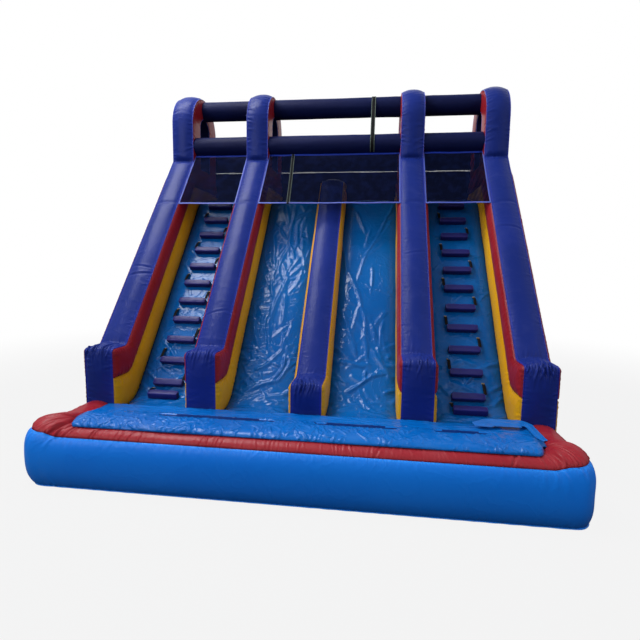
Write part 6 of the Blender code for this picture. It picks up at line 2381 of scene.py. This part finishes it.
@dataclass
class Studio:
    """The camera at the photograph's place, a pale floor and soft lamps."""

    camera_place: tuple[float, float, float] = (0.9164, -5.8265, 2.6659)
    yaw: float = 0.1262
    pitch: float = -0.1161
    roll: float = 0.0150
    lens: float = 25.168
    sensor: float = 36.0
    floor_size: float = 80.0
    floor_grey: float = 0.15
    floor_glow: float = 0.88
    glow_near: float = 6.0
    glow_far: float = 15.0
    lamps: tuple[tuple[str, tuple[float, float, float], float, float], ...] = (
        ("key_lamp", (-6.0, -1.0, 13.3), 6.0, 1250.0), ("fill_lamp", (-8.0, -12.0, 8.0), 8.0, 560.0),
        ("rear_lamp", (2.0, 12.0, 10.0), 8.0, 110.0), ("side_lamp", (10.0, -7.0, 7.0), 8.0, 140.0))
    soft_sky: tuple[Colour, Colour] = ((0.22, 0.235, 0.26), (0.5, 0.54, 0.62))
    mirrored_sky: tuple[Colour, Colour] = ((0.26, 0.27, 0.3), (0.85, 0.87, 0.92))
    mirrored_top: Colour = (0.3, 0.33, 0.42)
    opening_light: Colour = (1.5, 1.55, 1.7)

    def build(self) -> None:
        """Make the camera, the floor, the lamps and the world."""
        forward = Vector((-math.sin(self.yaw), math.cos(self.yaw), 0.0))
        right = Vector((math.cos(self.yaw), math.sin(self.yaw), 0.0))
        up = Vector((0.0, 0.0, 1.0))
        look = forward * math.cos(self.pitch) + up * math.sin(self.pitch)
        top = up * math.cos(self.pitch) - forward * math.sin(self.pitch)
        across = right * math.cos(self.roll) + top * math.sin(self.roll)
        rise = top * math.cos(self.roll) - right * math.sin(self.roll)
        data = bpy.data.cameras.new("photo_camera")
        data.lens = self.lens
        data.sensor_width = self.sensor
        camera = bpy.data.objects.new("photo_camera", data)
        turn = Matrix((across, rise, -look)).transposed().to_4x4()
        place = Vector(self.camera_place) + Vector((0.0, FRONT_Y, 0.0))
        camera.matrix_world = Matrix.Translation(place) @ turn
        bpy.context.scene.collection.objects.link(camera)
        bpy.context.scene.camera = camera
        self.floor()
        for lamp in self.lamps:
            self.lamp(*lamp)
        self.world()
        bpy.context.scene.view_settings.view_transform = "Standard"

    def floor(self) -> None:
        """Make the pale floor, which glows a little to the camera and keeps the slide's shadow."""
        size = self.floor_size
        mesh = bpy.data.meshes.new("studio_floor")
        mesh.from_pydata([(-size, -size, -0.002), (size, -size, -0.002), (size, size, -0.002),
                          (-size, size, -0.002)], [], [(0, 1, 2, 3)])
        material = bpy.data.materials.new("studio_floor")
        material.use_nodes = True
        bench = Bench(material.node_tree)
        away = bench.node("ShaderNodeVectorMath", {"operation": "LENGTH"},
                          {0: bench.node("ShaderNodeTexCoord", output="Object")}, "Value")
        glow = self.floor_glow + away.smooth(self.glow_near, self.glow_far) * (1 - self.floor_glow)
        seen = bench.node("ShaderNodeLightPath", output="Is Camera Ray")
        grey = bench.node("ShaderNodeBsdfDiffuse", None, {"Color": (*[self.floor_grey] * 3, 1.0)})
        white = bench.node("ShaderNodeEmission", None, {"Color": (1.0, 1.0, 1.0, 1.0), "Strength": 1.0})
        bench.node("ShaderNodeOutputMaterial", None,
                   {"Surface": bench.node("ShaderNodeMixShader", None, {0: glow * seen, 1: grey, 2: white})})
        mesh.materials.append(material)
        floor = bpy.data.objects.new("studio_floor", mesh)
        bpy.context.scene.collection.objects.link(floor)

    def lamp(self, name: str, place: tuple[float, float, float], size: float, power: float) -> None:
        """Make a square soft lamp that faces the slide.

        Args:
            name: The lamp's name.
            place: Where it hangs.
            size: The length of its sides.
            power: Its power in watts.
        """
        data = bpy.data.lights.new(name, "AREA")
        data.size = size
        data.energy = power
        lamp = bpy.data.objects.new(name, data)
        lamp.location = place
        aim = Vector((0.0, 0.0, 2.0)) - Vector(place)
        lamp.rotation_euler = aim.to_track_quat("-Z", "Y").to_euler()
        bpy.context.scene.collection.objects.link(lamp)

    def world(self) -> None:
        """Make a background that is white to look at and lights the slide softly."""
        world = bpy.data.worlds.new("studio_world")
        bpy.context.scene.world = world
        world.use_nodes = True
        bench = Bench(world.node_tree)
        seen, glossy, through = (bench.node("ShaderNodeLightPath", output=f"Is {kind} Ray")
                                 for kind in ("Camera", "Glossy", "Transmission"))
        way = bench.node("ShaderNodeTexCoord", output="Generated")
        x, y, z = (bench.part_of(way, axis) for axis in "XYZ")
        up = z.smooth(0.0, 0.75)
        soft = bench.mixed(*self.soft_sky, up)
        mirrored = bench.mixed(*self.mirrored_sky, up)
        mirrored = bench.mixed(mirrored, self.mirrored_top, z.smooth(0.82, 0.93))
        opening = (x * -0.4 + y * -0.1 + z * 0.91).smooth(0.955, 0.985)
        mirrored = bench.mixed(mirrored, self.opening_light, opening)
        colour = bench.mixed(bench.mixed(soft, mirrored, glossy), (1.0, 1.0, 1.0), seen + through)
        sky = bench.node("ShaderNodeBackground", None, {"Color": colour, "Strength": 1.0})
        bench.node("ShaderNodeOutputWorld", None, {"Surface": sky})


def dress_fittings() -> None:
    """Give the webbing tabs, the rings and the zip their finishes."""
    finishes = {"anchor_tab": STRAP, "anchor_ring": STEEL, "zip_tape": STRAP, "zip_slider": STEEL}
    for name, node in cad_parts.items():
        for prefix, finish in finishes.items():
            if name.startswith(prefix):
                for slot in node.material_slots:
                    slot.material = finish.material()


def main() -> None:
    """Build the studio and every sub-assembly in order."""
    logging.basicConfig(level=logging.INFO, format="%(name)s: %(message)s")
    Studio().build()
    profile = Profile()
    tall = TallShape(profile)
    chambers = [Chamber(f"{name}_chamber", name, middle_x(name), tall, seed, open_side, creases)
                for name, seed, open_side, creases in WALLS]
    chambers.append(Chamber("centre_divider_chamber", "centre_divider", 0.0, DividerShape(profile),
                            DIVIDER_SEED))
    for chamber in chambers:
        # The deep navy on the hole lining is painted shade.
        chamber.build([NAVY, RED, YELLOW, DEEP_NAVY])
        chamber.piping()
    for name, seed, long_folds in LANES:
        LaneBed(f"{name}_liner", name, profile, seed, name.startswith("climb"), long_folds).build()
    for side in Side:
        ClimbingSteps(side, profile).build()
    pool = LandingPool()
    pool.build()
    mattress = LandingMattress(pool)
    mattress.build()
    mattress.flap()
    for number, (bay, sleeve) in enumerate(BAYS):
        Beam(f"upper_beam_{bay}", f"top_beam_{bay}", UPPER_BEAM_SEED + number).build()
        Beam(f"front_beam_{bay}", f"lower_beam_{bay}", FRONT_BEAM_SEED + number).build()
        SafetyNet(bay, profile, NET_SEED + number, sleeve=sleeve).build()
    Beam("rear_top_beam", "rear_beam", REAR_BEAM_SEED).build()
    BeamSleeve().build()
    RearWall().build()
    dress_fittings()


if __name__ == "__main__":
    main()
